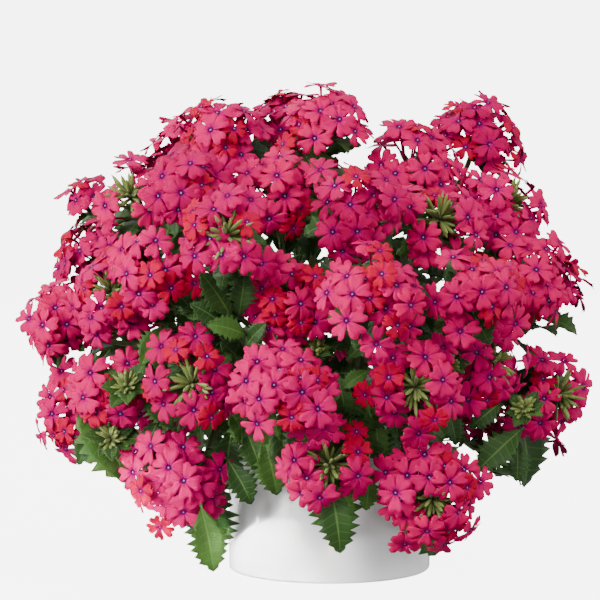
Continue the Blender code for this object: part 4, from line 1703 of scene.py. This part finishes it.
@dataclass(frozen=True)
class LeafFinish:
    """Leaf blade: waxy but rough with short hairs, so a broad dull shine over a quilted green.

    The veins are paler and sunk, young leaves are yellower, and the underside is pale.
    """

    old: str = "#1C3511"
    grown: str = "#2A4816"
    young: str = "#446820"
    vein: str = "#5E7F3A"
    underside: str = "#48662E"
    shadow: str = "#16330F"
    patch: float = 0.006
    cell: float = 0.0009
    shadow_share: float = 0.45
    vein_share: float = 0.24
    rib_share: float = 0.55
    under_share: float = 0.75

    def make(self) -> bpy.types.Material:
        """Builds the leaf material from the chart's veins, the age and the side.

        Returns:
            The material.
        """
        finish = Finish("hairy_leaf", 0.55, Sheen_Weight=0.05, Specular_IOR_Level=0.22)
        row, across = finish.coordinates()
        base = finish.aged((0.0, self.old), (0.5, self.grown), (1.0, self.young))
        base = finish.mixed(finish.times(finish.noise(self.patch), self.shadow_share), base, self.shadow)
        off_vein, off_rib = finish.maths("PINGPONG", row, 0.5), finish.off_middle(across)
        side_vein = finish.times(finish.band(off_vein, 0.12, 0.0), self.vein_share)
        rib = finish.times(finish.band(off_rib, 0.045, 0.01), self.rib_share)
        veins = finish.maths("MAXIMUM", side_vein, rib)
        base = finish.mixed(veins, base, self.vein)
        base = finish.mixed(finish.times(finish.attribute("Under"), self.under_share), base, self.underside)
        finish.bump(finish.maths("SUBTRACT", finish.noise(self.cell, 2.0), veins), 0.0004, 0.6)
        return finish.colour(base)


@dataclass(frozen=True)
class StalkFinish:
    """Stem, calyx and bud skin: ribbed and downy, so the edges catch a pale fuzz of light."""

    stem: str = "#41562B"
    shoot: str = "#4C6531"
    calyx: str = "#3F5A22"
    bud: str = "#83984A"
    tip: str = "#6E4A2A"
    groove_shade: str = "#22360F"
    ribs: float = 5.0
    blotch: float = 0.004
    down: float = 0.0006
    groove_shade_share: float = 0.45
    tip_share: float = 0.35

    def make(self) -> bpy.types.Material:
        """Builds the green skin from the Shade ramp and the chart's ribs, with painted shade darkening the
        grooves between the ribs.

        Returns:
            The material.
        """
        finish = Finish("downy_stalk", 0.55, Sheen_Weight=0.10, Sheen_Roughness=0.5, Specular_IOR_Level=0.25)
        _, turn = finish.coordinates()
        base = finish.aged((0.2, self.stem), (0.45, self.shoot), (0.65, self.calyx), (0.9, self.bud))
        wave = finish.maths("SINE", finish.times(turn, FULL_TURN * self.ribs))
        # Painted shade: a darker green along the grooves between five ribs round each stalk.
        base = finish.mixed(finish.times(finish.band(wave, 0.2, -1.0), self.groove_shade_share), base, self.groove_shade)
        base = finish.mixed(finish.times(finish.noise(self.blotch), self.tip_share), base, self.tip)
        finish.bump(finish.noise(self.down, 2.0), 0.0003, 0.5)
        return finish.colour(base)


@dataclass(frozen=True)
class GlazeFinish:
    """White glazed stoneware: fired glass over a pale body, so bright, even and gently reflecting."""

    glaze: str = "#FCFCFC"
    shadow: str = "#F4F4F5"
    wave: float = 0.030

    def make(self) -> bpy.types.Material:
        """Builds the glaze, a little greyer in faint cloudy patches, with its slow waves.

        Returns:
            The material.
        """
        finish = Finish("white_glaze", 0.22, Coat_Weight=0.35, Coat_Roughness=0.08, IOR=1.5)
        cloud = finish.noise(self.wave, 2.0)
        finish.bump(cloud, 0.0006, 0.15)
        return finish.colour(finish.mixed(cloud, self.glaze, self.shadow))


@dataclass(frozen=True)
class SoilFinish:
    """Damp potting mix: dark peat with brown fibres, so dull and crumbly."""

    peat: str = "#1D140E"
    fibre: str = "#4A3626"
    crumb: float = 0.0022

    def make(self) -> bpy.types.Material:
        """Builds the mix from coarse crumbs, with fibre on the high ones.

        Returns:
            The material.
        """
        finish = Finish("potting_mix", 0.95, Specular_IOR_Level=0.2)
        crumbs = finish.noise(self.crumb, 6.0)
        finish.bump(crumbs, 0.0020, 1.0)
        return finish.colour(finish.mixed(finish.band(crumbs, 0.45, 0.75), self.peat, self.fibre))


@dataclass(frozen=True)
class Lamp:
    """A square soft light: its place, side, watts, the angle it fills, and how far below the aim it faces."""

    name: str
    place: tuple[float, float, float]
    side: float
    power: float
    spread: float = 3.1
    drop: float = 0.0


LAMPS = (
    Lamp("key", (-0.8, -1.8, 1.2), 0.8, 45.0),
    Lamp("low", (-2.2, -0.9, 0.50), 0.8, 8.0, 0.9),
    Lamp("pot", (-1.9, -1.2, 0.05), 0.06, 0.19, 0.075, 0.135),
    Lamp("fill", (1.2, -1.6, 1.4), 1.2, 23.0),
    Lamp("rim", (1.9, 0.2, 0.4), 0.9, 17.0),
    Lamp("top", (0.1, 0.3, 1.9), 1.4, 16.0),
    Lamp("back", (-0.6, 1.6, 1.0), 1.4, 16.0),
)


@dataclass
class Studio:
    """A plain pale floor, a pale dome far off, soft lights and the camera at the photograph's angle."""

    sizes: Sizes = field(default_factory=Sizes)
    aim: tuple[float, float, float] = (-0.0175, 0.0, 0.1600)
    lens: float = 162.0
    sensor: float = 36.0
    clip: tuple[float, float] = (0.05, 200.0)
    paper: str = "#B4B4B4"
    white: str = "#FFFFFF"
    glow: float = 6.0
    surround: float = 0.46
    reach: float = 30.0
    dome_reach: float = 1.6
    dome_rows: int = 24
    dome_columns: int = 48

    def sheet(self, name: str, points: list[Any], faces: list[Any]) -> None:
        """Makes one piece of the plain pale studio, which glows to the eye but lights nothing.

        Args:
            name: its name.
            points: its corners.
            faces: its faces.
        """
        mesh = bpy.data.meshes.new(name)
        mesh.from_pydata(points, [], faces)
        piece = bpy.data.objects.new(name, mesh)
        bpy.context.scene.collection.objects.link(piece)
        finish = Finish(name + "_paper", 0.9, Specular_IOR_Level=0.0, Emission_Strength=self.glow)
        finish.shader.inputs["Base Color"].default_value = srgb(self.paper)
        finish.shader.inputs["Emission Color"].default_value = srgb(self.white)
        mesh.materials.append(finish.material)
        piece.visible_diffuse = piece.visible_glossy = False

    def backdrop(self) -> None:
        """Lays the floor at the height of the pot's base, and sets a pale dome far round it."""
        far = self.reach
        corners = [(-far, -far, 0.0), (far, -far, 0.0), (far, far, 0.0), (-far, far, 0.0)]
        self.sheet("floor", corners, [(0, 1, 2, 3)])
        rows, columns = self.dome_rows, self.dome_columns
        tilt = np.linspace(0.02, np.pi - 0.02, rows)
        rings = turned(np.sin(tilt), np.cos(tilt)[None], columns) * self.dome_reach * far
        index = np.arange(rows * columns).reshape(rows, columns)
        after = np.roll(index, -1, axis=1)
        quads = np.stack((index[:-1], index[1:], after[1:], after[:-1]), axis=-1).reshape(-1, 4)
        self.sheet("backdrop", rings.reshape(-1, 3).tolist(), quads.tolist())

    def hang(self, name: str, thing: bpy.types.ID, place: Any, drop: float = 0.0) -> bpy.types.Object:
        """Hangs a light or the camera so that it faces the plant.

        Args:
            name: its name.
            thing: the light's or the camera's own data.
            place: where it hangs.
            drop: how far below the aim it faces.

        Returns:
            Its object.
        """
        holder = bpy.data.objects.new(name, thing)
        holder.location = place
        toward = Vector(self.aim) - Vector((0.0, 0.0, drop)) - holder.location
        holder.rotation_euler = toward.to_track_quat("-Z", "Y").to_euler()
        bpy.context.scene.collection.objects.link(holder)
        return holder

    def build(self) -> None:
        """Sets the floor, the lights, the even surround and the camera."""
        self.backdrop()
        for lamp in LAMPS:
            light = bpy.data.lights.new(lamp.name, "AREA")
            light.size, light.energy, light.spread = lamp.side, lamp.power, lamp.spread
            self.hang(lamp.name, light, lamp.place, lamp.drop)
        world = bpy.data.worlds.new("pale_surround")
        world.use_nodes = True
        background = world.node_tree.nodes["Background"]
        background.inputs["Color"].default_value = srgb(self.white)
        background.inputs["Strength"].default_value = self.surround
        bpy.context.scene.world = world
        camera = bpy.data.cameras.new("camera")
        camera.lens, camera.sensor_width = self.lens, self.sensor
        camera.clip_start, camera.clip_end = self.clip
        bpy.context.scene.camera = self.hang("camera", camera, self.sizes.eye)


@dataclass
class Verbena:
    """The whole dressed plant: it builds each piece, hides the solids that it stands for and reports it."""

    plan: Plan = field(default_factory=Plan)
    florets: Florets = field(default_factory=Florets)
    calyces: Calyces = field(default_factory=Calyces)
    stems: Stems = field(default_factory=Stems)
    blades: Blades = field(default_factory=Blades)
    seed: int = 11

    def join(self, piece: bpy.types.Object, slot: Slot, *nodes: str) -> None:
        """Fixes a piece to the pot's body, hides the solids that it stands for and logs its faces.

        Args:
            piece: the piece.
            slot: the finish slot; not used.
            nodes: the solids.
        """
        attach(piece, BODY)
        if nodes:
            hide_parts(*nodes)
        log.info("%s: %d faces", piece.name, len(piece.data.polygons))

    def build(self) -> None:
        """Builds the pot, the soil, every head, and every leafy stem with its leaves."""
        petal, leaf_skin, stalk = PetalFinish().make(), LeafFinish().make(), StalkFinish().make()
        earth = SoilFinish().make()
        sizes = self.plan.sizes
        heads, leaves = self.plan.lay_out()
        large = leaves + self.plan.seen_leaves(heads)
        small = self.plan.small_leaves(heads, large)
        log.info("%d heads, %d large and %d small leaves", len(heads), len(large), len(small))
        self.join(Pot(sizes).build(GlazeFinish().make()), Slot.POT, "pot")
        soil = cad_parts["soil"]
        soil.data.materials.clear()
        soil.data.materials.append(earth)
        self.join(Crumbs(sizes).build(earth), Slot.SOIL)
        greens = [Surfaces() for _ in range(sizes.inner_stems + sizes.outer_stems)]
        for number, head in enumerate(heads):
            rng = np.random.default_rng(self.seed * 100 + number)
            blooms = Surfaces()
            along, roots = self.florets.build(head, rng, blooms)
            self.calyces.under_florets(along, roots, rng, greens[head.stem])
            if head.green_heart:
                self.calyces.heart(head, rng, greens[head.stem])
            self.join(blooms.build(head.name.replace("head", "blooms"), petal), Slot.PETALS, head.name)
        for number, tip in enumerate(self.plan.leafy_tips(heads)):
            self.calyces.heart(tip, np.random.default_rng(self.seed * 10 + number), greens[tip.stem])
        for stem, green in enumerate(greens):
            node = f"leafy_stem_{stem:02d}"
            self.stems.build(self.plan, stem, [head for head in heads if head.stem == stem], green)
            self.join(green.build(f"stalks_{stem:02d}", stalk), Slot.FOLIAGE, node)
            rng = np.random.default_rng(self.seed * 1000 + stem)
            foliage = Surfaces()
            for grown, teeth, cells in ((large, 7, 3), (small, 4, 1)):
                self.blades.build([leaf for leaf in grown if leaf.stem == stem], rng, foliage, teeth, cells)
            if foliage.points:
                self.join(foliage.build(f"leaves_{stem:02d}", leaf_skin), Slot.FOLIAGE, node)


def main() -> None:
    """Builds the plant and the studio."""
    logging.basicConfig(level=logging.INFO, format="%(name)s: %(message)s")
    plant = Verbena()
    plant.build()
    Studio(plant.plan.sizes).build()
    bpy.context.view_layer.update()


if __name__ == "__main__":
    main()
